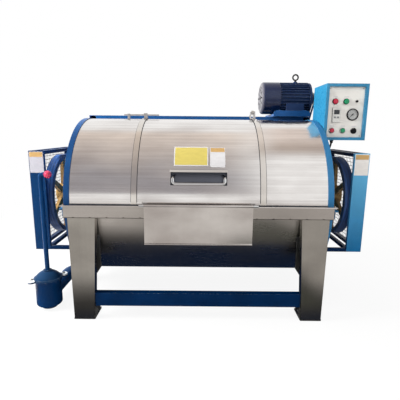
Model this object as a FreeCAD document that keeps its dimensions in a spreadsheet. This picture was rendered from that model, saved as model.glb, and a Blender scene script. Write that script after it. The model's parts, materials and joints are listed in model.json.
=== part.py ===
import FreeCAD, Part
import math
import os
import re
import Sketcher
from FreeCAD import Placement, Rotation, Vector

# Industrial washing machine with a horizontal drum, in millimetres.
# +X runs along the drum to the right, -Y is the front, +Z is up.
# The origin lies on the floor, midway between the four floor anchors, below the drum axis.

SIZES = {
    # Housing
    "axis_height": 740, "shell_radius": 575, "shell_sheet": 3, "shell_half": 820, "parting_rise": 24,
    "end_plate": 10, "rim_width": 37, "rim_sheet": 6, "rim_stand": 4,
    "seal_bore": 62, "seal_lip": 13, "seal_face": 12, "seal_taper": 4, "seal_gap": 0.4,
    "centre_cover_sink": 39, "cover_lap": 10,
    "inlet_inset": 220, "inlet_rise": 110, "inlet_radius": 30, "inlet_length": 45, "inlet_wall": 5,
    "inlet_collar": 9, "inlet_collar_length": 16,
    # Door and its guides
    "strip_inner": 393, "strip_width": 35, "strip_sheet": 4, "rail_gap": 1, "door_lap": 12,
    "web_gap": 3, "ledge_width": 14, "door_gap": 3, "door_top": 20,
    "pan_half": 180, "pan_low_rise": 139, "pan_high_rise": 247, "pan_depth": 32, "pan_sheet": 2,
    "pan_flange": 10, "lip_reach": 18, "lip_sheet": 2.8,
    "bar_radius": 11, "bar_rise": 18, "bar_sink": 4, "bar_half": 166, "bail_rise": 40, "bail_top": 62,
    "bail_lean": 16,
    "catch_reach": 146, "catch_length": 264, "catch_radius": 5, "catch_rise": 26, "catch_post": 26,
    "roller_rise": 48, "roller_radius": 17, "roller_width": 18, "roller_axle": 6, "roller_cheek": 6,
    "cheek_half": 26,
    # Aprons, legs and lower frame
    "apron_over": 23, "apron_lip": 55, "apron_height": 73, "apron_fold": 14, "lip_over": 22,
    "leg_inset": 1, "leg_top_width": 172, "leg_lean": 8, "leg_foot_width": 132, "leg_sheet": 3, "leg_sink": 2,
    "foot_plate": 12, "foot_reach": 150, "anchor_inset": 100, "anchor_hole": 9,
    "saddle_sheet": 10, "saddle_low": 210, "saddle_drop": 180, "saddle_back": 100,
    "gusset_low": 271, "gusset_toe": 58, "gusset_reach": 100, "gusset_rise": 64, "gusset_y": 540,
    "wedge_height": 81, "wedge_waist": 56, "wedge_reach": 24, "wedge_depth": 60, "wedge_toe": 2,
    "beam_low": 94, "beam_height": 90, "beam_width": 45, "beam_sheet": 6, "beam_sink": 12,
    # Flap
    "flap_half": 338, "flap_height": 237, "flap_gap": 7, "flap_sheet": 3, "flap_hem": 12,
    "hinge_radius": 7, "hinge_pin": 3.5, "hinge_fit": 0.08, "knuckle": 30, "hinge_rise": 9, "leaf_reach": 30,
    "leaf_sheet": 4,
    # Drum
    "drum_room": 75, "drum_sheet": 3, "drum_gap": 40, "drum_end": 8, "window_half": 350, "window_arc": 210,
    "door_facing": 40, "drum_hub": 105, "hub_face": 14, "hub_slope": 30,
    "inner_door_lap": 14, "inner_door_fit": 0.35, "inner_door_play": 1.2, "rail_width": 12, "rail_ledge": 10,
    "grip_rise": 170, "grip_radius": 8, "grip_length": 120,
    "lifter_height": 75, "lifter_half": 60, "lifter_crest": 14, "lifter_round": 18, "lifter_foot": 11,
    "shaft_radius": 40, "shaft_over": 3, "shaft_fit": 0.05,
    # Bearings
    "bearing_gap": 95, "bearing_width": 64, "bearing_height": 78, "bearing_radius": 68, "bearing_foot": 26,
    "bearing_half": 138,
    "bracket_half": 240, "bracket_reach": 196, "bracket_drop": 170, "bracket_sheet": 12, "bracket_tip": 60,
    # Belts and pulleys
    "belt_top": 16, "belt_height": 10, "belt_slope": 0.344, "belt_spacing": 20, "belt_fit": 0.4,
    "groove_depth": 13, "drum_pulley_gap": 241, "drum_pulley_radius": 300, "pulley_width": 66,
    "rim_depth": 32, "hub_radius": 74, "hub_width": 80, "hub_chamfer": 6, "spoke_width": 24,
    "spoke_taper": 8, "spoke_root": 4,
    "jack_reach": 25, "jack_rise": 220, "jack_radius": 25, "jack_pulley": 58,
    "second_gap": 155, "second_radius": 180, "second_width": 46, "second_web": 16, "second_hub": 22,
    "motor_pulley": 50,
    # Rear frame
    "post_gap": 45, "tube": 60, "tube_wall": 4, "post_reach": 58, "frame_over": 38,
    "beam_front": 300, "beam_back": 500, "jack_bearing": 46, "jack_bearing_width": 50, "jack_foot": 170,
    "jack_foot_sheet": 18,
    # Motor
    "motor_y": 330, "motor_height": 132, "base_sheet": 20, "motor_inset": 160, "motor_length": 240,
    "motor_core": 112, "fin_radius": 129, "fin_sheet": 4, "cowl_length": 150, "cowl_radius": 130,
    "cowl_sheet": 2.5, "cowl_round": 26, "cowl_eye": 24, "cowl_lap": 14, "slot_half": 5,
    "slot_inset": 20,
    "shield_length": 46, "shield_rim": 14, "shaft_seat": 40, "motor_shaft": 19,
    "foot_spread": 108, "foot_half": 24, "foot_sheet": 16, "foot_web": 14, "foot_rise": 84, "foot_inset": 8,
    "foot_lug": 40, "cradle_rise": 26, "cradle_before": 57, "cradle_after": 240, "cradle_round": 70,
    "cradle_sheet": 8, "cradle_front": 32,
    "terminal_start": 45, "terminal_length": 100, "terminal_reach": 84, "terminal_half": 52,
    "eye_offset": 20, "eye_boss": 16, "eye_boss_rise": 6, "eye_radius": 22, "eye_wire": 6, "eye_stem": 9,
    "eye_stem_length": 14,
    # Guards
    "guard_lap": 2, "guard_width": 104, "guard_under": 60, "guard_over": 46, "guard_room": 30,
    "guard_fold": 25, "guard_sheet": 3, "guard_bar": 25,
    # Control box and panel
    "box_gap": 31, "box_width": 288, "box_depth": 265, "box_drop": 141, "box_height": 378, "box_front": 277,
    "box_frame": 20, "box_recess": 22, "box_ledge": 15, "box_sheet": 3, "panel_sheet": 3,
    "button_radius": 13, "button_fit": 0.3, "button_stand": 6, "button_tail": 14,
    "bezel_radius": 20, "bezel_depth": 6, "mushroom": 17, "mushroom_height": 9, "mushroom_edge": 4,
    "mushroom_round": 12, "mushroom_slope": 8, "mushroom_lap": 0.8,
    "gauge_radius": 40, "gauge_lip": 6, "gauge_depth": 10, "gauge_floor": 3, "gauge_pivot": 2.5,
    "pivot_fit": 0.1, "needle_half": 3, "needle_tip": 0.6, "needle_tail": 9, "needle_length": 29,
    "needle_sheet": 1,
    "needle_stand": 1.4, "needle_boss": 2,
    "timer_width": 56, "timer_height": 96, "timer_depth": 8, "timer_recess": 2,
    "fuse_radius": 8, "fuse_depth": 9,
    "knob_base": 20, "knob_base_depth": 8, "knob_shaft": 5, "knob_grip": 6, "knob_reach": 16,
    "knob_round": 6.2, "knob_depth": 9, "knob_stand": 12,
    "bracket_pad": 8, "bracket_arm": 44, "bracket_y": 190, "bracket_span": 130,
    "cable_radius": 7, "gland_radius": 14, "gland_length": 26, "gland_inset": 119,
    "gland_y": 110, "cable_drop": 90, "cable_sag": 170,
    # Drain
    "pot_gap": 214, "pot_y": 458, "pot_radius": 85, "pot_wall": 6, "pot_low": 28, "pot_high": 206,
    "pot_round": 16, "flange_radius": 92, "flange_sheet": 10, "ear_x": 84, "ear_y": 64, "ear_radius": 26,
    "outlet_radius": 50, "outlet_length": 20,
    "pipe_radius": 50, "pipe_wall": 4, "pipe_z": 95, "elbow": 110, "port_rise": 70,
    "lid_height": 55, "lid_sheet": 14, "lid_collar": 12, "lid_collar_rise": 8, "lid_curve": 92,
    "lid_wall": 10,
    "rod_radius": 15, "rod_fit": 0.08,
    "rod_top": 939, "rod_bend": 20, "rod_handle": 9, "knob_radius": 25, "knob_sink": 4,
    "plug_radius": 60, "plug_height": 20, "plug_chamfer": 8,
}

# Places that follow from the sizes
PLACES = {
    "plate_face": "(shell_half + end_plate)",
    "front": "(shell_radius + apron_lip)",
    "parting": "(axis_height + parting_rise)",
    "centre_cover_radius": "(shell_radius - centre_cover_sink)",
    "inlet_x": "(shell_half - inlet_inset)",
    "web": "(strip_inner + door_lap + web_gap)",
    "pan_low": "(axis_height + pan_low_rise)",
    "pan_high": "(axis_height + pan_high_rise)",
    "strip_outer": "(strip_inner + strip_width)",
    "catch_left": "(strip_outer + catch_reach)",
    "apron_half": "(shell_half + apron_over)",
    "apron_low": "(parting - apron_height)",
    "leg_top_out": "(shell_half - leg_inset)",
    "leg_top_in": "(leg_top_out - leg_top_width)",
    "leg_foot_out": "(leg_top_out - leg_lean)",
    "leg_foot_in": "(leg_foot_out - leg_foot_width)",
    "anchor_half_x": "((leg_foot_in + leg_foot_out) / 2)",
    "anchor_half_y": "(front - anchor_inset)",
    "saddle_high": "(axis_height - saddle_drop)",
    "drum_radius": "(shell_radius - drum_room)",
    "drum_inner": "(drum_radius - drum_sheet)",
    "drum_half": "(shell_half - drum_gap)",
    "bearing_x": "(plate_face + bearing_gap)",
    "bearing_base": "(axis_height - bearing_height)",
    "drum_pulley_x": "(plate_face + drum_pulley_gap)",
    "shaft_end": "(drum_pulley_x + hub_width / 2 + shaft_over)",
    "jack_half": "(drum_pulley_x + pulley_width / 2 + shaft_over)",
    "jack_y": "(shell_radius + jack_reach)",
    "jack_z": "(axis_height + jack_rise)",
    "second_x": "(plate_face + second_gap)",
    "post_x": "(plate_face + post_gap)",
    "post_y": "(jack_y + post_reach)",
    "frame_top": "(axis_height + shell_radius + frame_over)",
    "motor_x": "(shell_half - motor_inset)",
    "motor_z": "(frame_top + base_sheet + motor_height)",
    "cradle_left": "(motor_x - cradle_before)",
    "cradle_right": "(motor_x + cradle_after)",
    "guard_in": "(drum_pulley_x - guard_lap)",
    "guard_out": "(guard_in + guard_width)",
    "guard_low": "(axis_height - drum_pulley_radius - guard_under)",
    "guard_high": "(axis_height + drum_pulley_radius + guard_over)",
    "guard_y": "(drum_pulley_radius + guard_room)",
    "box_left": "(plate_face + box_gap)",
    "box_low": "(axis_height + shell_radius - box_drop)",
    "panel_face": "(-box_front + box_recess - panel_sheet)",
    "pot_x": "(plate_face + pot_gap)",
    "pot_top": "(pot_high + flange_sheet)",
    "port_z": "(axis_height - shell_radius + port_rise)",
}

MESH_ROWS = 11
MESH_COLUMNS = 10
MESH_WIRE = 7
SPOKES = 6
FINS = 32
COWL_SLOTS = 12
BELTS = 3
MOTOR_BELTS = 2
LIFTER_ANGLES = (100, 180, 260)
BEND_SHARE = 0.45
# Cable past the end plate: shares of the way to the rear and of the sag
CABLE_SHARES = ((-0.03, -1), (0.26, -0.76), (0.55, -0.3), (0.83, 0), (1, 0.53))
CABLE_CLIMB = 0.72
POINTER_REST = -135
SEAT = 0.2

# Panel places, measured from the upper left corner on a panel of this width and height
PANEL_DRAWN = (259, 338)
BUTTON_PLACES = {
    "upper_red_button": (52, 97), "upper_green_button": (130, 97),
    "lower_red_button": (42, 292), "lower_green_button": (121, 292),
}
SELECTOR_PLACE = (199, 294)
GAUGE_PLACE = (182, 184)
TIMER_PLACE = (66, 188)
FUSE_PLACE = (206, 95)

AXES = {"x": Vector(1, 0, 0), "y": Vector(0, 1, 0), "z": Vector(0, 0, 1)}
ALONG = {
    "x": Rotation(Vector(0, 1, 0), 90),
    "y": Rotation(Vector(1, 0, 0), -90),
    "z": Rotation(),
}

doc = FreeCAD.newDocument("washing_machine")
sheet = doc.addObject("Spreadsheet::Sheet", "Sizes")
nodes = []


# Tools for the model

def fill_sheet():
    for row, (alias, value) in enumerate(SIZES.items(), start=1):
        sheet.set(f"A{row}", str(value))
        sheet.setAlias(f"A{row}", alias)
    doc.recompute()


def formula(text):
    """Write the size names in a formula as references to the sheet, with places spelled out in sizes."""
    def spell(match):
        name = match.group()
        if name in PLACES:
            return formula(PLACES[name])
        return f"Sizes.{name}" if name in SIZES else name
    return re.sub(r"[a-z_]+", spell, str(text))


def number(text):
    return float(sheet.evalExpression(formula(text)))


def bind(item, **formulas):
    for prop, text in formulas.items():
        item.setExpression(prop, formula(text))
    return item


def place(item, x=0, y=0, z=0, turn=None):
    if turn is not None:
        item.Placement = Placement(Vector(), turn)
    for axis, text in zip("xyz", (x, y, z)):
        item.setExpression(f"Placement.Base.{axis}", formula(text))
    return item


def box(x, y, z, dx, dy, dz):
    item = bind(doc.addObject("Part::Box", "block"), Length=dx, Width=dy, Height=dz)
    return place(item, x, y, z)


def rod(along, radius, x, y, z, length):
    item = bind(doc.addObject("Part::Cylinder", "rod"), Radius=radius, Height=length)
    return place(item, x, y, z, ALONG[along])


def ball(radius, x, y, z):
    item = bind(doc.addObject("Part::Sphere", "ball"), Radius=radius)
    return place(item, x, y, z)


def fuse(*shapes):
    item = doc.addObject("Part::MultiFuse", "joined")
    item.Shapes = list(shapes)
    return item


def cut(base, *tools):
    item = doc.addObject("Part::Cut", "trimmed")
    item.Base = base
    item.Tool = tools[0] if len(tools) == 1 else fuse(*tools)
    return item


def common(first, second):
    item = doc.addObject("Part::Common", "shared")
    item.Base = first
    item.Tool = second
    return item


def mirror(source, axis):
    item = doc.addObject("Part::Mirroring", "mirrored")
    item.Source = source
    item.Normal = AXES[axis]
    return item


def ring(outer, inner, half):
    """Tube round the drum axis, centred on the middle plane."""
    outside = rod("x", outer, f"-({half})", 0, "axis_height", f"2 * ({half})")
    inside = rod("x", inner, f"-({half}) - 1", 0, "axis_height", f"2 * ({half}) + 2")
    return cut(outside, inside)


def node(label, *pieces):
    """Give a finished piece, or a group of like pieces, its name."""
    item = pieces[0]
    if len(pieces) > 1:
        item = doc.addObject("Part::Compound", "group")
        item.Links = list(pieces)
    item.Label = label
    nodes.append(item)
    return item


def origin_item(body, role):
    return next(item for item in body.Origin.OriginFeatures if item.Role == role)


def outline(body, plane, points):
    """Closed sketch whose corners are held by formulas; a third entry is the radius of an arc to the next."""
    sketch = body.newObject("Sketcher::SketchObject", "outline")
    sketch.AttachmentSupport = (origin_item(body, plane), [""])
    sketch.MapMode = "FlatFace"
    corners = [Vector(number(point[0]), number(point[1]), 0) for point in points]
    count = len(points)
    for index, point in enumerate(points):
        start, end = corners[index], corners[(index + 1) % count]
        if len(point) == 3:
            sketch.addGeometry(arc_between(start, end, number(point[2])))
        else:
            sketch.addGeometry(Part.LineSegment(start, end))
    ends = [arc_ends(point) for point in points]
    for index in range(count):
        after = (index + 1) % count
        sketch.addConstraint(Sketcher.Constraint("Coincident", index, ends[index][1], after, ends[after][0]))
    for index, point in enumerate(points):
        first = ends[index][0]
        for kind, text, value in (("DistanceX", point[0], corners[index].x),
                                  ("DistanceY", point[1], corners[index].y)):
            held = sketch.addConstraint(Sketcher.Constraint(kind, -1, 1, index, first, value))
            sketch.setExpression(f"Constraints[{held}]", formula(text))
        if len(point) == 3:
            held = sketch.addConstraint(Sketcher.Constraint("Radius", index, abs(number(point[2]))))
            sketch.setExpression(f"Constraints[{held}]", formula(f"abs({point[2]})"))
    return sketch


def arc_ends(point):
    """Which end of a sketch element lies at its corner; a clockwise arc is stored the other way round."""
    clockwise = len(point) == 3 and number(point[2]) < 0
    return (2, 1) if clockwise else (1, 2)


def arc_between(start, end, radius):
    """Arc of the given radius, anticlockwise when the radius is positive, of less than half a turn."""
    middle = (start + end) * 0.5
    half = (end - start).Length / 2
    side = Vector(start.y - end.y, end.x - start.x, 0).normalize()
    centre = middle + side * math.copysign(math.sqrt(radius * radius - half * half), radius)
    circle = Part.Circle(centre, Vector(0, 0, 1), abs(radius))
    first, last = (start, end) if radius > 0 else (end, start)
    return Part.ArcOfCircle(circle, circle.parameter(first), circle.parameter(last))


def pad(body, plane, points, length):
    feature = body.newObject("PartDesign::Pad", "pad")
    feature.Profile = outline(body, plane, points)
    feature.Midplane = True
    bind(feature, Length=length)
    body.Tip = feature
    return feature


def turn(body, points, about="H_Axis"):
    """Revolve an outline given as (along, radius) round X, or (radius, height) round Z."""
    feature = body.newObject("PartDesign::Revolution", "turned")
    sketch = outline(body, "XZ_Plane", points)
    feature.Profile = sketch
    feature.ReferenceAxis = (sketch, [about])
    feature.Angle = 360
    body.Tip = feature
    return feature


def repeat(body, feature, axis, count):
    feature.Document.recompute()
    pattern = body.newObject("PartDesign::PolarPattern", "repeat")
    pattern.Originals = [feature]
    pattern.Axis = (origin_item(body, axis), [""])
    pattern.Angle = 360
    pattern.Occurrences = count
    body.Tip = pattern
    return pattern


def new_body():
    return doc.addObject("PartDesign::Body", "body")


def padded(plane, points, length, x=0, y=0, z=0):
    body = new_body()
    pad(body, plane, points, length)
    return place(body, x, y, z)


def turned(points, x=0, y=0, z="axis_height", about="H_Axis"):
    body = new_body()
    turn(body, points, about)
    return place(body, x, y, z)


def shape_node(label, shape):
    item = doc.addObject("Part::Feature", "formed")
    item.Shape = shape
    return node(label, item)


# Housing

def half_space(above):
    """Block that covers everything above or below the parting plane."""
    reach = "2 * shell_radius"
    low = "parting" if above else f"parting - {reach}"
    return box("-2 * shell_half", f"-{reach}", low, "4 * shell_half", f"2 * {reach}", reach)


def end_plates():
    outer = "shell_radius + rim_stand"
    inner = "shell_radius + rim_stand - rim_sheet"
    profile = [
        ("shell_half", "seal_bore"), ("shell_half", outer), ("shell_half + rim_width", outer),
        ("shell_half + rim_width", inner), ("plate_face", inner), ("plate_face", "seal_bore"),
    ]
    right = node("right_end_plate", turned(profile))
    port = rod("x", "pipe_radius - pipe_wall", "-plate_face - 1", 0, "port_z", "end_plate + 2")
    node("left_end_plate", cut(mirror(right, "x"), port))


def trough():
    shell = ring("shell_radius", "shell_radius - shell_sheet", "shell_half")
    node("trough", cut(shell, half_space(True)))


def upper_covers():
    shell = ring("shell_radius", "shell_radius - shell_sheet", "shell_half")
    web_end = "(web + strip_sheet)"
    side = box(web_end, "-2 * shell_radius", "parting", f"shell_half - {web_end}",
               "4 * shell_radius", "2 * shell_radius")
    right = node("right_upper_cover", common(shell, side))

    inlet_z = "(axis_height + inlet_rise)"
    wall = "sqrt(shell_radius ^ 2 - inlet_rise ^ 2)"
    collar = rod("y", "inlet_radius + inlet_collar", "-inlet_x", f"{wall} - inlet_radius", inlet_z,
                 "inlet_radius + inlet_collar_length")
    spigot = rod("y", "inlet_radius", "-inlet_x", wall, inlet_z, "inlet_collar_length + inlet_length")
    inside = rod("x", "shell_radius - shell_sheet", "-shell_half", 0, "axis_height", "shell_half")
    bore = rod("y", "inlet_radius - inlet_wall", "-inlet_x", f"{wall} - 2 * inlet_radius", inlet_z,
               "4 * inlet_radius + inlet_length")
    socket = cut(fuse(collar, spigot), inside)
    node("left_upper_cover", cut(fuse(mirror(right, "x"), socket), bore))


def centre_rear_cover():
    shell = ring("centre_cover_radius", "centre_cover_radius - shell_sheet", "web")
    rear = box("-web", "-cover_lap", "parting", "2 * web", "2 * shell_radius", "2 * shell_radius")
    node("centre_rear_cover", common(shell, rear))


def door_guides():
    top = "(shell_radius + rail_gap)"
    ledge = "(shell_radius - shell_sheet - rail_gap)"
    foot = "centre_cover_radius - shell_sheet"
    profile = [
        ("strip_inner", top), ("web", top), ("web", ledge), ("web - ledge_width", ledge),
        ("web - ledge_width", f"{ledge} - strip_sheet"), ("web", f"{ledge} - strip_sheet"), ("web", foot),
        ("web + strip_sheet", foot), ("web + strip_sheet", top), ("strip_inner + strip_width", top),
        ("strip_inner + strip_width", f"{top} + strip_sheet"), ("strip_inner", f"{top} + strip_sheet"),
    ]
    right = cut(turned(profile), half_space(False))
    node("door_guides", right, mirror(right, "x"))


def door_catches():
    """Catch rod on two posts at the left guide, roller bracket at the right one."""
    strip = "(shell_radius + rail_gap + strip_sheet)"
    guide_top = f"(axis_height + {strip})"
    rod_z = f"({guide_top} + catch_rise)"
    catch = rod("x", "catch_radius", "-catch_left", 0, rod_z, "catch_length")
    inner_post = box("-strip_outer + catch_radius", "-catch_post / 2", f"{guide_top} - catch_radius",
                     "catch_post", "catch_post", "catch_rise + 3.4 * catch_radius")
    outer_post = box("-catch_left + catch_post", "-catch_post / 3",
                     "axis_height + shell_radius - catch_radius", "catch_post * 2 / 3", "catch_post * 2 / 3",
                     f"{rod_z} - axis_height - shell_radius + 2.6 * catch_radius")
    guide = rod("x", f"{strip} + {SEAT}", "-strip_outer", 0, "axis_height", "strip_width")
    cover = rod("x", f"shell_radius + {SEAT}", "-shell_half", 0, "axis_height", "shell_half - strip_outer")
    left = cut(fuse(catch, inner_post, outer_post), guide, cover)

    neck = "(roller_radius - 3)"
    crest = "(roller_rise + 4)"
    cheek = [
        ("-cheek_half", "-roller_cheek"), ("cheek_half", "-roller_cheek"), ("cheek_half", "2 * roller_cheek"),
        (neck, crest, "roller_radius - 1"), (f"-{neck}", crest), ("-cheek_half", "2 * roller_cheek"),
    ]
    axle_z = f"({guide_top} + roller_rise)"
    plate = padded("YZ_Plane", cheek, "roller_cheek", "strip_outer - 1.5 * roller_cheek", 0, guide_top)
    axle = rod("x", "roller_axle", "strip_outer - 2 * roller_width", 0, axle_z, "roller_width + roller_cheek")
    roller = rod("x", "roller_radius", "strip_outer - 2 * roller_width + 2", 0, axle_z, "roller_width")
    seat = rod("x", f"{strip} + {SEAT}", "strip_inner", 0, "axis_height", "strip_width")
    node("door_catches", left, cut(fuse(plate, axle, roller), seat))


def door():
    half = "(strip_inner + door_lap)"
    sector = box(f"-{half}", "-2 * shell_radius", "parting + door_gap", f"2 * {half}",
                 "2 * shell_radius + door_top", "2 * shell_radius")
    shell = ring("shell_radius", "shell_radius - shell_sheet", "shell_half")
    mouth = box("-pan_half", "-2 * shell_radius", "pan_low", "2 * pan_half", "2 * shell_radius",
                "pan_high - pan_low")
    node("door_skin", cut(common(shell, sector), mouth))

    skin_inner = f"shell_radius - shell_sheet - {SEAT}"
    block = common(
        ring(skin_inner, "shell_radius - pan_depth", "pan_half + 2 * pan_flange"),
        box("-pan_half - pan_flange", "-2 * shell_radius", "pan_low - pan_flange",
            "2 * (pan_half + pan_flange)", "2 * shell_radius", "pan_high - pan_low + 2 * pan_flange"))
    hollow = common(
        ring("2 * shell_radius", "shell_radius - pan_depth + pan_sheet", "pan_half + 2 * pan_flange"),
        box("-pan_half", "-3 * shell_radius", "pan_low", "2 * pan_half", "3 * shell_radius",
            "pan_high - pan_low"))
    lip_y = "sqrt(shell_radius ^ 2 - (pan_high - axis_height) ^ 2)"
    lip = box("-pan_half", f"-{lip_y} - lip_reach", f"pan_high - lip_sheet - {SEAT}", "2 * pan_half",
              "2.2 * lip_reach", "lip_sheet")
    node("door_handle_pan", fuse(cut(block, hollow), lip))

    handle_bar()


def handle_bar():
    """Bar across the pan whose ends turn up and back to the pan's floor."""
    reach = number("shell_radius - bar_sink")
    slope = math.asin(number("pan_low + bar_rise - axis_height") / reach)
    out = Vector(0, -math.cos(slope), math.sin(slope))
    up = Vector(0, math.sin(slope), math.cos(slope))
    middle = Vector(0, 0, number("axis_height")) + out * reach
    half = number("bar_half")
    sunk = number("pan_depth + bar_radius")
    right = [
        Vector(half - number("bail_lean"), 0, 0) + up * number("bail_top") - out * sunk,
        Vector(half, 0, 0) + up * number("bail_rise"),
        Vector(half, 0, 0),
    ]
    left = [Vector(-point.x, point.y, point.z) for point in reversed(right)]
    route = [middle + point for point in right + left]
    start = Part.Wire(Part.makeCircle(number("bar_radius"), route[0], route[1] - route[0]))
    tube = doc.addObject("Part::Feature", "bent")
    tube.Shape = smooth_route(route).makePipeShell([start], True, False)
    floor = rod("x", f"shell_radius - pan_depth + pan_sheet + {SEAT}", "-shell_half", 0, "axis_height",
                "2 * shell_half")
    node("door_handle_bar", cut(tube, floor))


def aprons():
    back = "shell_radius - 6"
    profile = [
        ("-front", "apron_low"), ("-front + apron_fold", "apron_low"),
        ("-front + apron_fold", "apron_low + shell_sheet"),
        ("-front + shell_sheet", "apron_low + shell_sheet"),
        ("-front + shell_sheet", "parting - shell_sheet"), (f"-({back})", "parting - shell_sheet"),
        (f"-({back})", "parting"), ("-front", "parting"),
    ]
    skirt = padded("YZ_Plane", profile, "2 * apron_half")
    lip_half = "(apron_half + lip_over)"
    lip = box(f"-{lip_half}", "-front", "parting - shell_sheet", f"2 * {lip_half}",
              f"front - ({back})", "shell_sheet")
    housing = rod("x", f"shell_radius + {SEAT}", "-shell_half", 0, "axis_height", "2 * shell_half")
    rim = rod("x", f"shell_radius + rim_stand + {SEAT}", "shell_half", 0, "axis_height", "2 * rim_width")
    front = node("front_apron", cut(fuse(skirt, lip), housing, rim, mirror(rim, "x")))
    node("rear_apron", mirror(front, "y"))


# Legs and lower frame

def legs():
    low, high = "foot_plate", "apron_low"
    outside = [("leg_foot_in", low), ("leg_foot_out", low), ("leg_top_out", high), ("leg_top_in", high)]
    inside = [
        ("leg_foot_in + leg_sheet", "foot_plate - 1"), ("leg_foot_out - leg_sheet", "foot_plate - 1"),
        ("leg_top_out - leg_sheet", f"{high} + 1"), ("leg_top_in + leg_sheet", f"{high} + 1"),
    ]
    depth = "(apron_lip - leg_sink - 1)"
    skin = padded("XZ_Plane", outside, depth, 0, f"-front + leg_sink + {depth} / 2")
    hollow = padded("XZ_Plane", inside, depth, 0, f"-front + leg_sink + leg_sheet + {depth} / 2")
    right = cut(skin, hollow)
    pair = (right, mirror(right, "x"))
    node("legs", *pair, *(mirror(leg, "y") for leg in pair))


def leg_saddles():
    """Plates in the open backs of the legs that carry the trough, each with a gusset at its side."""
    near = "(-front + leg_sink + leg_sheet)"
    plate = box("anchor_half_x - saddle_sheet / 2", near, "saddle_low", "saddle_sheet",
                f"-({near}) - saddle_back", "saddle_high - saddle_low")
    shell = rod("x", f"shell_radius + {SEAT}", "anchor_half_x - gusset_reach - saddle_sheet", 0,
                "axis_height", "gusset_reach + 3 * saddle_sheet")
    gusset = [
        ("anchor_half_x", "gusset_low"), ("anchor_half_x - gusset_toe", "gusset_low"),
        ("anchor_half_x - gusset_reach", "gusset_low + gusset_rise"),
        ("anchor_half_x - gusset_reach", "saddle_high"), ("anchor_half_x", "saddle_high"),
    ]
    web = padded("XZ_Plane", gusset, "saddle_sheet", 0, "-gusset_y")
    right = cut(fuse(plate, web), shell)
    pair = (right, mirror(right, "x"))
    node("leg_saddles", *pair, *(mirror(saddle, "y") for saddle in pair))


def foot_plates():
    """Plates under the legs with an anchor hole behind each leg and a wedge bracket at its inner side."""
    left = "leg_foot_in - 2"
    near = "(-front + leg_sink + 4)"
    plate = box(left, near, 0, f"leg_foot_out + 4 - ({left})", "foot_reach", "foot_plate")
    hole = rod("z", "anchor_hole", "anchor_half_x", "-anchor_half_y", -1, "foot_plate + 2")
    middle = "(foot_plate + wedge_waist)"
    lean = "wedge_height * (leg_foot_in - leg_top_in) / (apron_low - foot_plate)"
    wedge_points = [
        (f"leg_foot_in - {SEAT}", 0), (f"leg_foot_in - {SEAT}", "foot_plate"),
        (f"leg_foot_in - {lean} - {SEAT}", "foot_plate + wedge_height"),
        ("leg_foot_in - wedge_reach", middle), ("leg_foot_in - wedge_toe", 0),
    ]
    wedge = padded("XZ_Plane", wedge_points, "wedge_depth", 0, f"{near} + wedge_depth / 2")
    corner = cut(fuse(plate, wedge), hole)
    pair = (corner, mirror(corner, "x"))
    node("foot_plates", *pair, *(mirror(foot, "y") for foot in pair))


def lower_beams():
    top = "(beam_low + beam_height)"
    rise = f"({top} - foot_plate) / (apron_low - foot_plate)"
    half = f"(leg_foot_in - (leg_foot_in - leg_top_in) * {rise} - {SEAT})"
    near = "(-front + beam_sink)"
    profile = [
        (near, "beam_low"), (f"{near} + beam_width", "beam_low"),
        (f"{near} + beam_width", "beam_low + beam_sheet"), (f"{near} + beam_sheet", "beam_low + beam_sheet"),
        (f"{near} + beam_sheet", f"{top} - beam_sheet"), (f"{near} + beam_width", f"{top} - beam_sheet"),
        (f"{near} + beam_width", top), (near, top),
    ]
    front = padded("YZ_Plane", profile, f"2 * {half}")
    node("lower_beams", front, mirror(front, "y"))


# Flap in front of the apron

def flap():
    axis_y = "(-shell_radius - apron_lip - flap_gap - flap_sheet / 2)"
    axis_z = "(parting + hinge_rise)"
    face = f"({axis_y} - flap_sheet / 2)"
    low = "(parting - flap_height)"
    profile = [
        (face, low), (f"{face} - flap_hem", low), (f"{face} - flap_hem", f"{low} + flap_sheet"),
        (face, f"{low} + flap_sheet"), (face, axis_z), (f"{face} + flap_sheet", axis_z),
        (f"{face} + flap_sheet", low),
    ]
    sheet_metal = padded("YZ_Plane", profile, "2 * flap_half")
    barrel = rod("x", "hinge_radius", "-flap_half", axis_y, axis_z, "2 * flap_half")
    bore = rod("x", "hinge_pin + hinge_fit", "-flap_half - 1", axis_y, axis_z, "2 * flap_half + 2")
    node("flap", cut(fuse(sheet_metal, barrel), bore))

    start = "(flap_half + 1)"
    knuckle = rod("x", "hinge_radius", start, axis_y, axis_z, "knuckle")
    pin = rod("x", "hinge_pin", f"{start} - knuckle", axis_y, axis_z, "2 * knuckle")
    leaf = box(start, f"{axis_y} - leaf_sheet / 2", "parting", "knuckle", "flap_gap + leaf_reach",
               "leaf_sheet")
    right = fuse(knuckle, pin, leaf)
    node("flap_hinges", right, mirror(right, "x"))


# Drum

def face_door(item):
    """Turn a piece made with the loading opening at the front to its place, facing the door."""
    item.Placement = Placement(Vector(), Rotation(AXES["x"], -number("door_facing")))
    item.setExpression("Placement.Rotation.Angle", formula("-door_facing * 1 deg"))
    item.setExpression("Placement.Base.z", formula("axis_height"))
    return item


def drum_tube(outer, inner, half):
    outside = rod("x", outer, f"-({half})", 0, 0, f"2 * ({half})")
    inside = rod("x", inner, f"-({half}) - 1", 0, 0, f"2 * ({half}) + 2")
    return cut(outside, inside)


def drum_window(lap):
    half_x = f"(window_half + {lap})"
    half_z = f"(window_arc + {lap})"
    return box(f"-{half_x}", "-2 * drum_radius", f"-{half_z}", f"2 * {half_x}", "2 * drum_radius",
               f"2 * {half_z}")


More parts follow.
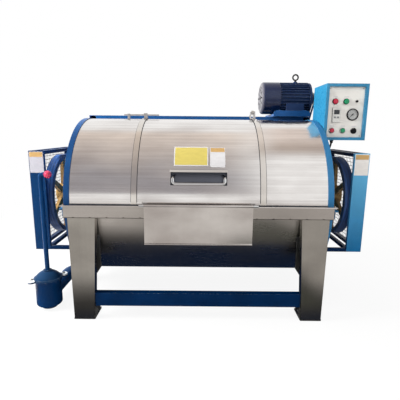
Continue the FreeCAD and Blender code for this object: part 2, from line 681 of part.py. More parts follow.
def drum():
    rail = "(window_half + inner_door_lap + 2)"
    ledge = "(drum_radius + inner_door_fit + drum_sheet + inner_door_play)"
    rail_profile = [
        (rail, "drum_radius - 1"), (f"{rail} + rail_width", "drum_radius - 1"),
        (f"{rail} + rail_width", f"{ledge} + drum_sheet"), (f"{rail} - rail_ledge", f"{ledge} + drum_sheet"),
        (f"{rail} - rail_ledge", ledge), (rail, ledge),
    ]
    right_rail = turned(rail_profile, z=0)
    wall = drum_tube("drum_radius", "drum_inner", "drum_half")
    node("drum_wall", face_door(cut(fuse(wall, right_rail, mirror(right_rail, "x")), drum_window(0))))

    underside = "drum_radius + inner_door_fit"
    curve = drum_tube(f"{underside} + drum_sheet", underside, "drum_half")
    panel = common(curve, drum_window("inner_door_lap"))
    grip_y = f"-sqrt(({underside} + drum_sheet) ^ 2 - grip_rise ^ 2)"
    grip = rod("x", "grip_radius", "-grip_length / 2", grip_y, "grip_rise", "grip_length")
    inside = rod("x", "drum_radius + 2", "-grip_length", 0, 0, "2 * grip_length")
    node("inner_door", face_door(fuse(panel, cut(grip, inside))))

    rim = f"drum_inner - {SEAT}"
    bore = "shaft_radius + shaft_fit"
    end_profile = [
        ("drum_half - drum_end", bore), ("drum_half - drum_end", rim), ("drum_half", rim),
        ("drum_half", "drum_hub + hub_slope"), ("drum_half + hub_face", "drum_hub"),
        ("drum_half + hub_face", bore),
    ]
    right_end = turned(end_profile)
    node("drum_ends", right_end, mirror(right_end, "x"))

    right_shaft = rod("x", "shaft_radius", "drum_half - drum_end", 0, "axis_height",
                      "shaft_end - drum_half + drum_end")
    node("drum_shafts", right_shaft, mirror(right_shaft, "x"))


def lifter_outline(sheet_gap):
    """Rib section with its foot outside the drum wall, or the hollow inside its sheet."""
    base = "-drum_inner - lifter_foot"
    crest = f"-drum_inner + lifter_height - {sheet_gap}"
    half, top = f"lifter_half - {sheet_gap}", f"lifter_crest - {sheet_gap} / 2"
    shoulder = "-drum_inner + lifter_foot"
    return [
        (base, f"-({half})"), (base, half), (shoulder, half), (crest, top, f"lifter_round - {sheet_gap}"),
        (crest, f"-({top})"), (shoulder, f"-({half})"),
    ]


def drum_lifters():
    half = "(drum_half - drum_end - 1)"
    inside = rod("x", f"drum_inner - {SEAT}", f"-{half}", 0, 0, f"2 * {half}")
    lifters = []
    for angle in LIFTER_ANGLES:
        outer = padded("YZ_Plane", lifter_outline(0), f"2 * {half}")
        inner = padded("YZ_Plane", lifter_outline("drum_sheet"), f"2 * {half} + 2")
        rib = common(cut(outer, inner), inside)
        rib.Placement = Placement(Vector(), Rotation(AXES["x"], -number("door_facing") - angle))
        rib.setExpression("Placement.Rotation.Angle", formula(f"(-door_facing - {angle}) * 1 deg"))
        lifters.append(place(rib, 0, 0, "axis_height"))
    node("drum_lifters", *lifters)


def drum_bearings():
    gap = "shaft_radius + seal_gap"
    seal_profile = [
        ("shell_half + 2", gap), ("shell_half + 2", f"seal_bore - {SEAT}"),
        ("plate_face", f"seal_bore - {SEAT}"),
        ("plate_face", "seal_bore + seal_lip"),
        ("plate_face + seal_face", "seal_bore + seal_lip - seal_taper"), ("plate_face + seal_face", gap),
    ]
    right_seal = turned(seal_profile)
    node("shaft_seals", right_seal, mirror(right_seal, "x"))

    block = box("bearing_x - bearing_width / 2", "-bearing_half", "bearing_base", "bearing_width",
                "2 * bearing_half", "bearing_foot")
    pedestal = box("bearing_x - bearing_width / 2", "-bearing_radius", "bearing_base", "bearing_width",
                   "2 * bearing_radius", "bearing_height")
    housing = rod("x", "bearing_radius", "bearing_x - bearing_width / 2", 0, "axis_height", "bearing_width")
    bore = rod("x", "shaft_radius + shaft_fit", "bearing_x - bearing_width", 0, "axis_height",
               "2 * bearing_width")
    right_bearing = cut(fuse(block, pedestal, housing), bore)
    node("drum_bearings", right_bearing, mirror(right_bearing, "x"))

    under = "(bearing_base - bracket_sheet)"
    tip = "(plate_face + bracket_reach)"
    shelf = box("plate_face", "-bracket_half", under, "bracket_reach", "2 * bracket_half", "bracket_sheet")
    gusset = [
        ("plate_face", under), (tip, under), (tip, f"{under} - bracket_tip"),
        ("plate_face + bracket_tip", "bearing_base - bracket_drop"),
        ("plate_face", "bearing_base - bracket_drop"),
    ]
    ribs = [padded("XZ_Plane", gusset, "bracket_sheet", 0, f"{side} * (bracket_half - bracket_tip)")
            for side in (-1, 1)]
    right_bracket = fuse(shelf, *ribs)
    node("bearing_brackets", right_bracket, mirror(right_bracket, "x"))


# Belt drive

def groove_points(radius, width, count):
    """Outer edge of a pulley, from its left to its right face, with V grooves."""
    top = "(belt_top / 2 + belt_fit * 1.06)"
    bottom = f"({top} - groove_depth * belt_slope)"
    points = [(f"-{width} / 2", radius)]
    for index in range(count):
        middle = f"({index - (count - 1) / 2} * belt_spacing)"
        points += [
            (f"{middle} - {top}", radius), (f"{middle} - {bottom}", f"{radius} - groove_depth"),
            (f"{middle} + {bottom}", f"{radius} - groove_depth"), (f"{middle} + {top}", radius),
        ]
    return points + [(f"{width} / 2", radius)]


def disc_pulley(radius, width, bore, count, x, y, z):
    """Pulley turned from the solid."""
    points = groove_points(radius, width, count)
    return turned(points + [(f"{width} / 2", bore), (f"-{width} / 2", bore)], x, y, z)


def drum_pulley(label, x):
    body = new_body()
    bore = "shaft_radius + shaft_fit"
    turn(body, [
        ("-hub_width / 2", bore), ("-hub_width / 2", "hub_radius - hub_chamfer"),
        ("-hub_width / 2 + hub_chamfer", "hub_radius"), ("hub_width / 2 - hub_chamfer", "hub_radius"),
        ("hub_width / 2", "hub_radius - hub_chamfer"), ("hub_width / 2", bore),
    ])
    inner = "(drum_pulley_radius - rim_depth)"
    spoke = pad(body, "YZ_Plane", [
        ("-spoke_width", "hub_radius - hub_chamfer"), ("spoke_width", "hub_radius - hub_chamfer"),
        ("spoke_width - spoke_taper", f"{inner} + spoke_root"),
        ("-spoke_width + spoke_taper", f"{inner} + spoke_root"),
    ], "spoke_width")
    repeat(body, spoke, "X_Axis", SPOKES)
    points = groove_points("drum_pulley_radius", "pulley_width", BELTS)
    turn(body, points + [("pulley_width / 2", inner), ("-pulley_width / 2", inner)])
    node(label, place(body, x, 0, "axis_height"))


def jackshaft():
    node("jackshaft", rod("x", "jack_radius", "-jack_half", "jack_y", "jack_z", "2 * jack_half"))
    bore = "jack_radius + shaft_fit"
    ends = [disc_pulley("jack_pulley", "pulley_width", bore, BELTS, x, "jack_y", "jack_z")
            for x in ("-drum_pulley_x", "drum_pulley_x")]
    second = new_body()
    points = groove_points("second_radius", "second_width", MOTOR_BELTS)
    rim = "second_radius - rim_depth"
    turn(second, points + [
        ("second_width / 2", rim), ("second_web / 2", f"{rim} - spoke_root"),
        ("second_web / 2", "jack_radius + second_hub + spoke_root"),
        ("second_width / 2", "jack_radius + second_hub"), ("second_width / 2", bore),
        ("-second_width / 2", bore), ("-second_width / 2", "jack_radius + second_hub"),
        ("-second_web / 2", "jack_radius + second_hub + spoke_root"),
        ("-second_web / 2", f"{rim} - spoke_root"),
        ("-second_width / 2", rim),
    ])
    place(second, "second_x", "jack_y", "jack_z")
    node("jackshaft_pulleys", *ends, second)

    left = "post_x + tube / 2 - jack_bearing_width / 2"
    foot = box(left, "post_y - jack_foot_sheet", "jack_z - jack_foot / 2", "jack_bearing_width",
               "jack_foot_sheet", "jack_foot")
    neck = box(left, "jack_y", "jack_z - jack_bearing", "jack_bearing_width", "post_y - jack_y",
               "2 * jack_bearing")
    housing = rod("x", "jack_bearing", left, "jack_y", "jack_z", "jack_bearing_width")
    hole = rod("x", bore, f"{left} - 1", "jack_y", "jack_z", "jack_bearing_width + 2")
    right = cut(fuse(foot, neck, housing), hole)
    node("jackshaft_bearings", right, mirror(right, "x"))


def belt_loop(x, big, small):
    """V-belt round two pulleys, each given as (y, z, outer radius)."""
    depth = number("belt_height / 2")
    centres = [Vector(0, y, z) for y, z, _ in (big, small)]
    radii = [radius - depth for _, _, radius in (big, small)]
    span = centres[1] - centres[0]
    heading = math.atan2(span.z, span.y)
    wrap = math.acos((radii[0] - radii[1]) / span.Length)

    def rim_point(index, angle, radius=None):
        reach = radii[index] if radius is None else radius
        return centres[index] + Vector(0, math.cos(angle), math.sin(angle)) * reach

    upper, lower = heading + wrap, heading - wrap
    edges = [
        Part.Arc(rim_point(0, upper), rim_point(0, heading + math.pi), rim_point(0, lower)).toShape(),
        Part.makeLine(rim_point(0, lower), rim_point(1, lower)),
        Part.Arc(rim_point(1, lower), rim_point(1, heading), rim_point(1, upper)).toShape(),
        Part.makeLine(rim_point(1, upper), rim_point(0, upper)),
    ]
    outer_half = number("belt_top / 2")
    inner_half = number("belt_top / 2 - belt_height * belt_slope")
    section = [
        rim_point(0, upper, radii[0] + side * depth) + Vector(offset, 0, 0)
        for side, offset in ((1, -outer_half), (1, outer_half), (-1, inner_half), (-1, -inner_half))
    ]
    loop = Part.Wire(edges).makePipeShell([Part.makePolygon(section + section[:1])], True, False)
    loop.translate(Vector(x, 0, 0))
    return loop


def belts():
    jack = (number("jack_y"), number("jack_z"))
    wheel = (0, number("axis_height"), number("drum_pulley_radius"))
    offsets = [(index - (BELTS - 1) / 2) * number("belt_spacing") for index in range(BELTS)]
    loops = [belt_loop(side * number("drum_pulley_x") + offset, wheel, jack + (number("jack_pulley"),))
             for side in (-1, 1) for offset in offsets]
    shape_node("drum_belts", Part.makeCompound(loops))

    motor = (number("motor_y"), number("motor_z"), number("motor_pulley"))
    second = jack + (number("second_radius"),)
    offsets = [(index - (MOTOR_BELTS - 1) / 2) * number("belt_spacing") for index in range(MOTOR_BELTS)]
    loops = [belt_loop(number("second_x") + offset, second, motor) for offset in offsets]
    shape_node("motor_belts", Part.makeCompound(loops))


# Rear frame and motor

def square_tube(along, x, y, z, length):
    """Hollow square tube that starts at a corner and runs along one axis."""
    places = {axis: f"({text})" for axis, text in zip("xyz", (x, y, z))}
    sides = {axis: length if axis == along else "tube" for axis in "xyz"}
    outside = box(*places.values(), *sides.values())
    inner_places = {axis: text if axis == along else f"{text} + tube_wall" for axis, text in places.items()}
    inner_sides = {axis: text if axis == along else f"{text} - 2 * tube_wall" for axis, text in sides.items()}
    return cut(outside, box(*inner_places.values(), *inner_sides.values()))


def rear_frame():
    post = square_tube("z", "post_x", "post_y", 0, "frame_top")
    arm = square_tube("y", "post_x", "beam_front", "frame_top - tube", "post_y - beam_front")
    beams = [square_tube("x", "-post_x", y, "frame_top - tube", "2 * post_x")
             for y in ("beam_front", "beam_back")]
    node("rear_frame", post, arm, mirror(post, "x"), mirror(arm, "x"), *beams)


def motor_base():
    """Plate across the two beams, with an arched web along its front edge."""
    front = "(motor_y - foot_spread - cradle_front)"
    plate = box("cradle_left", front, "frame_top", "cradle_right - cradle_left",
                f"beam_back + tube - {front}", "base_sheet")
    high = "(frame_top + base_sheet + cradle_rise)"
    shoulder = f"{high} - cradle_rise / 2"
    arch = [
        ("cradle_left", "frame_top"), ("cradle_right", "frame_top"),
        ("cradle_right", shoulder, "cradle_round"), ("cradle_right - cradle_round", high),
        ("cradle_left + cradle_round", high, "cradle_round"), ("cradle_left", shoulder),
    ]
    web = padded("XZ_Plane", arch, "cradle_sheet", 0, f"{front} + cradle_sheet / 2")
    node("motor_base", fuse(plate, web))


def motor():
    axis = "motor_z"
    half = "(motor_length / 2)"
    body = new_body()
    shield = f"({half} + shield_length)"
    bore = "motor_shaft + shaft_fit"
    spigot = f"cowl_radius - cowl_sheet - {SEAT}"
    turn(body, [
        (f"-{half} - cowl_lap", 0), (f"-{half} - cowl_lap", spigot), (f"-{half}", spigot),
        (f"-{half}", "motor_core"), (half, "motor_core"), (half, "fin_radius - fin_sheet"),
        (f"{half} + shield_rim", "fin_radius - fin_sheet"),
        (f"{half} + 1.5 * shield_rim", "motor_core - 1.5 * shield_rim"), (shield, "motor_core / 2"),
        (shield, bore),
        (f"{shield} - shaft_seat", bore), (f"{shield} - shaft_seat", 0),
    ])
    fin = pad(body, "YZ_Plane", [
        ("-fin_sheet / 2", "motor_core - fin_sheet"), ("fin_sheet / 2", "motor_core - fin_sheet"),
        ("fin_sheet / 2", "fin_radius"), ("-fin_sheet / 2", "fin_radius"),
    ], "motor_length - fin_sheet")
    repeat(body, fin, "X_Axis", FINS)
    place(body, f"motor_x + {half}", "motor_y", axis)
    feet = []
    sole = f"{axis} - motor_height"
    for side in (-1, 1):
        middle = f"(motor_y + {side} * foot_spread)"
        feet.append(box("motor_x + foot_inset", f"{middle} - foot_half", sole,
                        "motor_length - 2 * foot_inset", "2 * foot_half", "foot_sheet"))
        feet.append(box("motor_x + foot_inset + foot_lug", f"{middle} - foot_web", sole,
                        "motor_length - 2 * (foot_inset + foot_lug)", "2 * foot_web", "foot_rise"))
    terminal = box("motor_x + terminal_start", "motor_y + motor_core / 2", f"{axis} - terminal_half",
                   "terminal_length", "terminal_reach + motor_core / 2", "2 * terminal_half")
    eye_x = f"(motor_x + {half} + eye_offset)"
    boss_low = f"({axis} + motor_core / 2)"
    boss_top = f"({axis} + fin_radius + eye_boss_rise)"
    boss = rod("z", "eye_boss", eye_x, "motor_y", boss_low, f"{boss_top} - {boss_low}")
    node("motor_frame", fuse(body, *feet, terminal, boss))

    cowl = new_body()
    turn(cowl, [
        (0, "cowl_radius - cowl_sheet"), (0, "cowl_radius"),
        ("-cowl_length + cowl_round", "cowl_radius", "cowl_round"),
        ("-cowl_length", "cowl_radius - cowl_round"), ("-cowl_length", "cowl_eye"),
        ("-cowl_length + cowl_sheet", "cowl_eye"),
        ("-cowl_length + cowl_sheet", "cowl_radius - cowl_round - 1"),
        ("-cowl_length + cowl_round + 2", "cowl_radius - cowl_sheet"),
    ])
    doc.recompute()
    slot = cowl.newObject("PartDesign::Pocket", "slot")
    slot.Profile = outline(cowl, "YZ_Plane", [
        ("-slot_half", "cowl_eye + slot_inset"), ("slot_half", "cowl_eye + slot_inset"),
        ("1.6 * slot_half", "cowl_radius - cowl_round - slot_half"),
        ("-1.6 * slot_half", "cowl_radius - cowl_round - slot_half"),
    ])
    slot.Midplane = True
    bind(slot, Length="3 * cowl_length")
    repeat(cowl, slot, "X_Axis", COWL_SLOTS)
    node("motor_fan_cowl", place(cowl, "motor_x", "motor_y", axis))

    eye = bind(doc.addObject("Part::Torus", "eye"), Radius1="eye_radius", Radius2="eye_wire")
    place(eye, eye_x, "motor_y", f"{boss_top} + eye_stem_length + eye_radius", ALONG["y"])
    stem = rod("z", "eye_stem", eye_x, "motor_y", boss_top, "eye_stem_length + eye_wire / 2")
    node("motor_eyebolt", fuse(eye, stem))

    start = "(motor_x + motor_length + shield_length - shaft_seat + 1)"
    shaft = rod("x", "motor_shaft", start, "motor_y", axis, f"second_x + second_width / 2 - {start} + 4")
    pulley = disc_pulley("motor_pulley", "second_width", "motor_shaft + shaft_fit", MOTOR_BELTS,
                         "second_x", "motor_y", axis)
    node("motor_rotor", shaft, pulley)


# Guards at both ends

def guards():
    near = "(-guard_y + guard_fold)"
    skin = "(-guard_y + guard_sheet)"
    profile = [
        ("guard_in", "-guard_y"), ("guard_out", "-guard_y"), ("guard_out", near),
        ("guard_out - guard_sheet", near), ("guard_out - guard_sheet", skin),
        ("guard_in + guard_sheet", skin), ("guard_in + guard_sheet", near), ("guard_in", near),
    ]
    height = "(guard_high - guard_low)"
    right = node("right_guard_panel", padded("XY_Plane", profile, height, 0, 0, f"guard_low + {height} / 2"))
    node("left_guard_panel", mirror(right, "x"))

    length = f"(guard_y - {near})"
    outer_x = "guard_out - guard_sheet - guard_bar"
    top = "guard_high - guard_bar"
    bars = [
        box(outer_x, near, top, "guard_bar", length, "guard_bar"),
        box(outer_x, near, "guard_low", "guard_bar", length, "guard_bar"),
        box(outer_x, "guard_y - guard_bar", "guard_low + guard_bar", "guard_bar", "guard_bar",
            f"{height} - 2 * guard_bar"),
    ]
    net = doc.addObject("Part::Feature", "net")
    net.Shape = mesh_net(number(near), number("guard_y"), number("guard_low"), number("guard_high"))
    pieces = bars + [net]
    node("guard_meshes", *pieces, *(mirror(piece, "x") for piece in pieces))

    runs = [
        box("guard_in", near, top, "guard_bar", length, "guard_bar"),
        box("guard_in", near, "guard_low", "guard_bar", length, "guard_bar"),
    ]
    tie = "guard_in - plate_face"
    bridge_x = "guard_in + guard_bar"
    bridge = f"{outer_x} - guard_in - guard_bar"
    back = "guard_y - guard_bar"
    ties = [
        box("plate_face", f"{near} - guard_bar", "guard_low", tie, "guard_bar", "guard_bar"),
        box("plate_face", back, "guard_low", tie, "guard_bar", "guard_bar"),
        box("plate_face", back, top, tie, "guard_bar", "guard_bar"),
        box(bridge_x, back, "guard_low", bridge, "guard_bar", "guard_bar"),
        box(bridge_x, back, top, bridge, "guard_bar", "guard_bar"),
    ]
    pieces = runs + ties
    node("guard_brackets", *pieces, *(mirror(piece, "x") for piece in pieces))


def rectangle(x, y0, y1, z0, z1):
    corners = [Vector(x, y0, z0), Vector(x, y1, z0), Vector(x, y1, z1), Vector(x, y0, z1)]
    return Part.makePolygon(corners + corners[:1])


def mesh_net(y0, y1, z0, z1):
    """Flat net as one sheet with square gaps."""
    x = number("guard_out - guard_sheet")
    step_y = (y1 - y0) / MESH_COLUMNS
    step_z = (z1 - z0) / MESH_ROWS
    edge = MESH_WIRE / 2
    wires = [rectangle(x, y0, y1, z0, z1)]
    for column in range(MESH_COLUMNS):
        for row in range(MESH_ROWS):
            left, low = y0 + column * step_y, z0 + row * step_z
            wires.append(rectangle(x, left + edge, left + step_y - edge, low + edge, low + step_z - edge))
    face = Part.Face(wires, "Part::FaceMakerBullseye")
    return face.extrude(Vector(number("guard_sheet"), 0, 0))


# Control box

def panel_point(spot):
    """Formulas for x and z of a place given from the panel's upper left corner."""
    across, down = (f"{place / drawn}" for place, drawn in zip(spot, PANEL_DRAWN))
    return (f"(box_left + box_frame + {across} * (box_width - 2 * box_frame))",
            f"(box_low + box_height - box_frame - {down} * (box_height - 2 * box_frame))")


def control_box():
    shell = box("box_left", "-box_front", "box_low", "box_width", "box_depth", "box_height")
    recess = box("box_left + box_frame", "-box_front - 1", "box_low + box_frame", "box_width - 2 * box_frame",
                 "box_recess + 1", "box_height - 2 * box_frame")
    hollows = []
    for wall, start in (("(box_frame + box_ledge)", "box_recess - 1"), ("box_sheet", "(box_recess + 8)")):
        hollows.append(box(f"box_left + {wall}", f"-box_front + {start}", f"box_low + {wall}",
                           f"box_width - 2 * {wall}", f"box_depth - box_sheet - ({start})",
                           f"box_height - 2 * {wall}"))
    node("control_box", cut(shell, recess, *hollows))

    plate = box(f"box_left + box_frame + {SEAT}", "panel_face", f"box_low + box_frame + {SEAT}",
                f"box_width - 2 * box_frame - {2 * SEAT}", "panel_sheet",
                f"box_height - 2 * box_frame - {2 * SEAT}")
    holes = []
    for spot in BUTTON_PLACES.values():
        x, z = panel_point(spot)
        holes.append(rod("y", "button_radius + button_fit", x, "panel_face - 1", z, "panel_sheet + 2"))
    x, z = panel_point(SELECTOR_PLACE)
    holes.append(rod("y", "knob_shaft + pivot_fit", x, "panel_face - 1", z, "panel_sheet + 2"))
    x, z = panel_point(GAUGE_PLACE)
    holes.append(rod("y", "gauge_pivot + pivot_fit", x, "panel_face - 1", z, "panel_sheet + 2"))
    node("control_panel", cut(plate, *holes))

    low = "(box_low + bracket_pad)"
    pads = [box(x, "-bracket_y", low, "bracket_pad", "bracket_span", "bracket_arm + 2 * bracket_pad")
            for x in ("plate_face", "box_left - bracket_pad")]
    arm = box("plate_face", "-bracket_y + bracket_pad", f"{low} + bracket_pad", "box_gap",
              "bracket_span - 2 * bracket_pad", "bracket_arm")
    node("control_box_bracket", fuse(*pads, arm))


def panel_instruments():
    pieces = []
    bore = "button_radius + button_fit"
    for spot in BUTTON_PLACES.values():
        x, z = panel_point(spot)
        outer = rod("y", "bezel_radius", x, "panel_face - bezel_depth", z, "bezel_depth")
        inner = rod("y", bore, x, "panel_face - bezel_depth - 1", z, "bezel_depth + 2")
        pieces.append(cut(outer, inner))
    x, z = panel_point(GAUGE_PLACE)
    case = rod("y", "gauge_radius", x, "panel_face - gauge_depth", z, "gauge_depth")
    dish = rod("y", "gauge_radius - gauge_lip", x, "panel_face - gauge_depth - 1", z, "gauge_depth - 2")
    pivot = rod("y", "gauge_pivot + pivot_fit", x, "panel_face - gauge_depth", z, "gauge_depth + 1")
    pieces.append(cut(case, dish, pivot))
    x, z = panel_point(TIMER_PLACE)
    timer = box(f"{x} - timer_width / 2", "panel_face - timer_depth", f"{z} - timer_height / 2",
                "timer_width", "timer_depth", "timer_height")
    window = box(f"{x} - timer_width / 2 + timer_depth", "panel_face - timer_depth - 1",
                 f"{z} + timer_depth / 2", "timer_width - 2 * timer_depth", "timer_recess + 1",
                 "timer_height / 3")
    pieces.append(cut(timer, window))
    x, z = panel_point(FUSE_PLACE)
    pieces.append(rod("y", "fuse_radius", x, "panel_face - fuse_depth", z, "fuse_depth"))
    node("panel_instruments", *pieces)

    x, z = panel_point(GAUGE_PLACE)
    face = "(panel_face - gauge_floor)"
    needle_y = f"({face} - needle_stand)"
    boss = rod("y", "2 * gauge_pivot", x, f"{needle_y} - 0.6 * needle_boss", z, "needle_boss")
    pin = rod("y", "gauge_pivot", x, f"{face} - needle_sheet", z, "2 * gauge_pivot")
    needle = padded("XZ_Plane", [
        ("-needle_half", "-needle_tail"), ("needle_half", "-needle_tail"), ("needle_tip", "needle_length"),
        ("-needle_tip", "needle_length"),
    ], "needle_sheet")
    place(needle, x, needle_y, z, Rotation(AXES["y"], POINTER_REST))
    node("gauge_pointer", fuse(boss, pin, needle))


def buttons():
    for label, spot in BUTTON_PLACES.items():
        x, z = panel_point(spot)
        front = "(panel_face - bezel_depth - button_stand)"
        stem = rod("y", "button_radius", x, front, z, "bezel_depth + button_stand + button_tail")
        if label.startswith("upper"):
            head = turned([
                (0, 0), ("mushroom", 0), ("mushroom", "mushroom_edge", "mushroom_round"),
                ("mushroom - mushroom_slope", "mushroom_height"), (0, "mushroom_height"),
            ], x, front, z, "V_Axis")
            head.Placement = Placement(Vector(), Rotation(AXES["x"], 90))
            stem = fuse(stem, place(head, x, f"{front} + mushroom_lap", z))
        node(label, stem)

    x, z = panel_point(SELECTOR_PLACE)
    face = f"(panel_face - {SEAT} - 0.1)"
    base = rod("y", "knob_base", x, f"{face} - knob_base_depth", z, "knob_base_depth")
    shaft = rod("y", "knob_shaft", x, f"{face} - 1", z, "button_tail")
    grip = padded("XZ_Plane", [
        ("-knob_grip", "-knob_reach"), ("knob_grip", "-knob_reach"),
        ("knob_grip", "knob_reach", "knob_round"), ("-knob_grip", "knob_reach"),
    ], "knob_depth", x, f"{face} - knob_stand", z)
    node("selector_knob", fuse(base, shaft, grip))


def smooth_route(points):
    """Straight runs joined by arcs as large as the runs allow, as a wire."""
    edges = []
    start = points[0]
    for before, corner, after in zip(points, points[1:], points[2:]):
        back = before - corner
        ahead = after - corner
        trim = BEND_SHARE * min(back.Length, ahead.Length)
        back.normalize()
        ahead.normalize()
        half = back.getAngle(ahead) / 2
        radius = trim * math.tan(half)
        first, last = corner + back * trim, corner + ahead * trim
        inward = (back + ahead).normalize()
        middle = corner + inward * (radius / math.sin(half) - radius)
        edges.append(Part.makeLine(start, first))
        edges.append(Part.Arc(first, middle, last).toShape())
        start = last
    edges.append(Part.makeLine(start, points[-1]))
    return Part.Wire(edges)


def control_cable():
    """Cable from the gland below the control box, past the end plate, up to the terminal box of the motor."""
    exit_x = number("box_left + gland_inset")
    low = number("box_low")
    run_x = number("post_x - cable_radius - 2")
    reach = number("beam_back + tube + 3 * cable_radius")
    sag = number("cable_sag")
    gland_y = number("-gland_y")
    motor_z = number("motor_z")
    terminal_x = number("motor_x + terminal_start + terminal_length")
    terminal_y = number("motor_y + motor_core + terminal_reach / 2")
    route = [Vector(exit_x, gland_y, low), Vector(exit_x, gland_y, low - number("cable_drop"))]
    route += [Vector(run_x, share * reach, low + rise * sag) for share, rise in CABLE_SHARES]
    route += [
        Vector(run_x, reach, low + CABLE_CLIMB * (motor_z - low)), Vector(run_x, terminal_y, motor_z),
        Vector(terminal_x, terminal_y, motor_z),
    ]
    path = smooth_route(route)
    start = Part.Wire(Part.makeCircle(number("cable_radius"), route[0], Vector(0, 0, -1)))
    cable = path.makePipeShell([start], True, False)
    gland = Part.makeCylinder(number("gland_radius"), number("gland_length"), route[0], Vector(0, 0, -1))
    shape_node("control_cable", cable.fuse(gland).removeSplitter())


# Drain at the left front

def flange_ears(low):
    """Two round ears on opposite sides of the pot, each with room for a bolt."""
    return fuse(*(rod("z", "ear_radius", f"-pot_x + {side} * ear_x", f"-pot_y + {side} * ear_y", low,
                      "flange_sheet") for side in (-1, 1)))


def drain():
    x, y = "-pot_x", "-pot_y"
    inner = "(pot_radius - pot_wall)"
    shell = new_body()
    round_out = "(pot_radius - pot_round)"
    turn(shell, [
        ("outlet_radius - pot_wall", "pot_low - outlet_length"), ("outlet_radius", "pot_low - outlet_length"),
        ("outlet_radius", "pot_low"), (round_out, "pot_low", "pot_round"),
        ("pot_radius", "pot_low + pot_round"), ("pot_radius", "pot_high"),
        ("flange_radius", "pot_high"), ("flange_radius", "pot_top"), (inner, "pot_top"),
        (inner, "pot_low + pot_round", "-pot_round + pot_wall"), (round_out, "pot_low + pot_wall"),
        ("outlet_radius - pot_wall", "pot_low + pot_wall"),
    ], "V_Axis")
    place(shell, x, y, 0)
    mouth = rod("y", "pipe_radius - pipe_wall", x, y, "pipe_z", "pot_radius + flange_sheet")
    inside = rod("z", inner, x, y, 0, "2 * pot_top")
    ears = cut(flange_ears("pot_high"), inside)
    node("drain_valve_body", cut(fuse(shell, ears), mouth))

    hole = "rod_radius + rod_fit"
    collar = "rod_radius + lid_collar"
    crown = "pot_top + lid_height"
    brim = "pot_top + flange_sheet"
    lid = turned([
        (hole, f"{crown} - lid_sheet"), (hole, f"{crown} + lid_collar_rise"),
        (collar, f"{crown} + lid_collar_rise"), (collar, crown, "-lid_curve"), ("pot_radius", brim),
        ("flange_radius", brim), ("flange_radius", "pot_top"), (inner, "pot_top", "lid_curve - lid_wall"),
        (collar, f"{crown} - lid_sheet"),
    ], x, y, 0, "V_Axis")
    dome = rod("z", "pot_radius", x, y, 0, "2 * pot_top")
    node("drain_valve_lid", fuse(lid, cut(flange_ears("pot_top"), dome)))

    run = "(-elbow)"
    riser = "(-pot_x + elbow)"
    solids, hollows = [], []
    for radius, into, past in (("pipe_radius", solids, 0), ("(pipe_radius - pipe_wall)", hollows, 1)):
        into.append(rod("y", radius, x, y, "pipe_z", f"pot_y + {run}"))
        bend = bind(doc.addObject("Part::Torus", "bend"), Radius1="elbow", Radius2=radius)
        bend.Angle3 = 90
        place(bend, riser, run, "pipe_z", Rotation(AXES["z"], 90))
        into.append(bend)
        into.append(ball(radius, riser, 0, "pipe_z"))
        into.append(rod("z", radius, riser, 0, "pipe_z", "port_z - pipe_z"))
        into.append(ball(radius, riser, 0, "port_z"))
        into.append(rod("x", radius, riser, 0, "port_z", f"-plate_face - {riser} + {past}"))
    pot = rod("z", f"pot_radius + {SEAT}", x, y, 0, "pot_high")
    node("drain_pipe", cut(fuse(*solids), *hollows, pot))

    rest = f"(pot_low + pot_wall + {SEAT} + 0.1)"
    foot = f"({rest} + plug_height)"
    upright = rod("z", "rod_radius", x, y, foot, f"rod_top - rod_bend - {foot}")
    bend = bind(doc.addObject("Part::Torus", "bend"), Radius1="rod_bend", Radius2="rod_radius")
    bend.Angle3 = 90
    bend_turn = Rotation(AXES["x"], Vector(0, 0, 1), Vector(0, 0, 0), "XZY")
    place(bend, "-pot_x + rod_bend", y, "rod_top - rod_bend", bend_turn.multiply(Rotation(AXES["z"], 90)))
    handle = rod("x", "rod_radius", "-pot_x + rod_bend", y, "rod_top", "rod_handle")
    plug = turned([
        (0, 0), ("plug_radius - plug_chamfer", 0), ("plug_radius", "plug_chamfer"),
        ("plug_radius", "plug_height - plug_chamfer / 2"), ("plug_radius - plug_chamfer / 2", "plug_height"),
        (0, "plug_height"),
    ], x, y, rest, "V_Axis")
    node("drain_rod", fuse(upright, bend, handle, plug))

    sphere = ball("knob_radius", "-pot_x + rod_bend + rod_handle + knob_radius - knob_sink", y, "rod_top")
    flat = rod("x", "rod_radius + 1", "-pot_x + rod_bend", y, "rod_top", "rod_handle")
    node("drain_knob", cut(sphere, flat))


# The whole machine

def check_and_export():
    doc.recompute()
    os.makedirs("parts", exist_ok=True)
    for item in doc.Objects:
        if "Invalid" in item.State or "Error" in item.State:
            raise RuntimeError(f"{item.Label} did not build: {item.State}")
    for item in nodes:
        if item.Shape.isNull() or not item.Shape.isValid():
            raise RuntimeError(f"{item.Label} has no valid shape")
        item.Shape.exportStep(f"parts/{item.Label}.step")


def build():
    fill_sheet()
    end_plates()
    trough()
    upper_covers()
    centre_rear_cover()
    door_guides()
    door_catches()
    door()
    aprons()
    legs()
    leg_saddles()
    foot_plates()
    lower_beams()
    flap()
    drum()
    drum_lifters()
    drum_bearings()
    drum_pulley("right_drum_pulley", "drum_pulley_x")
    drum_pulley("left_drum_pulley", "-drum_pulley_x")
    jackshaft()
    belts()
    rear_frame()
    motor_base()
    motor()
    guards()
    control_box()
    panel_instruments()
    buttons()
    control_cable()
    drain()
    check_and_export()


build()
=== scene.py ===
import json
import math

import bmesh
import bpy
import numpy as np
from mathutils import Matrix, Vector


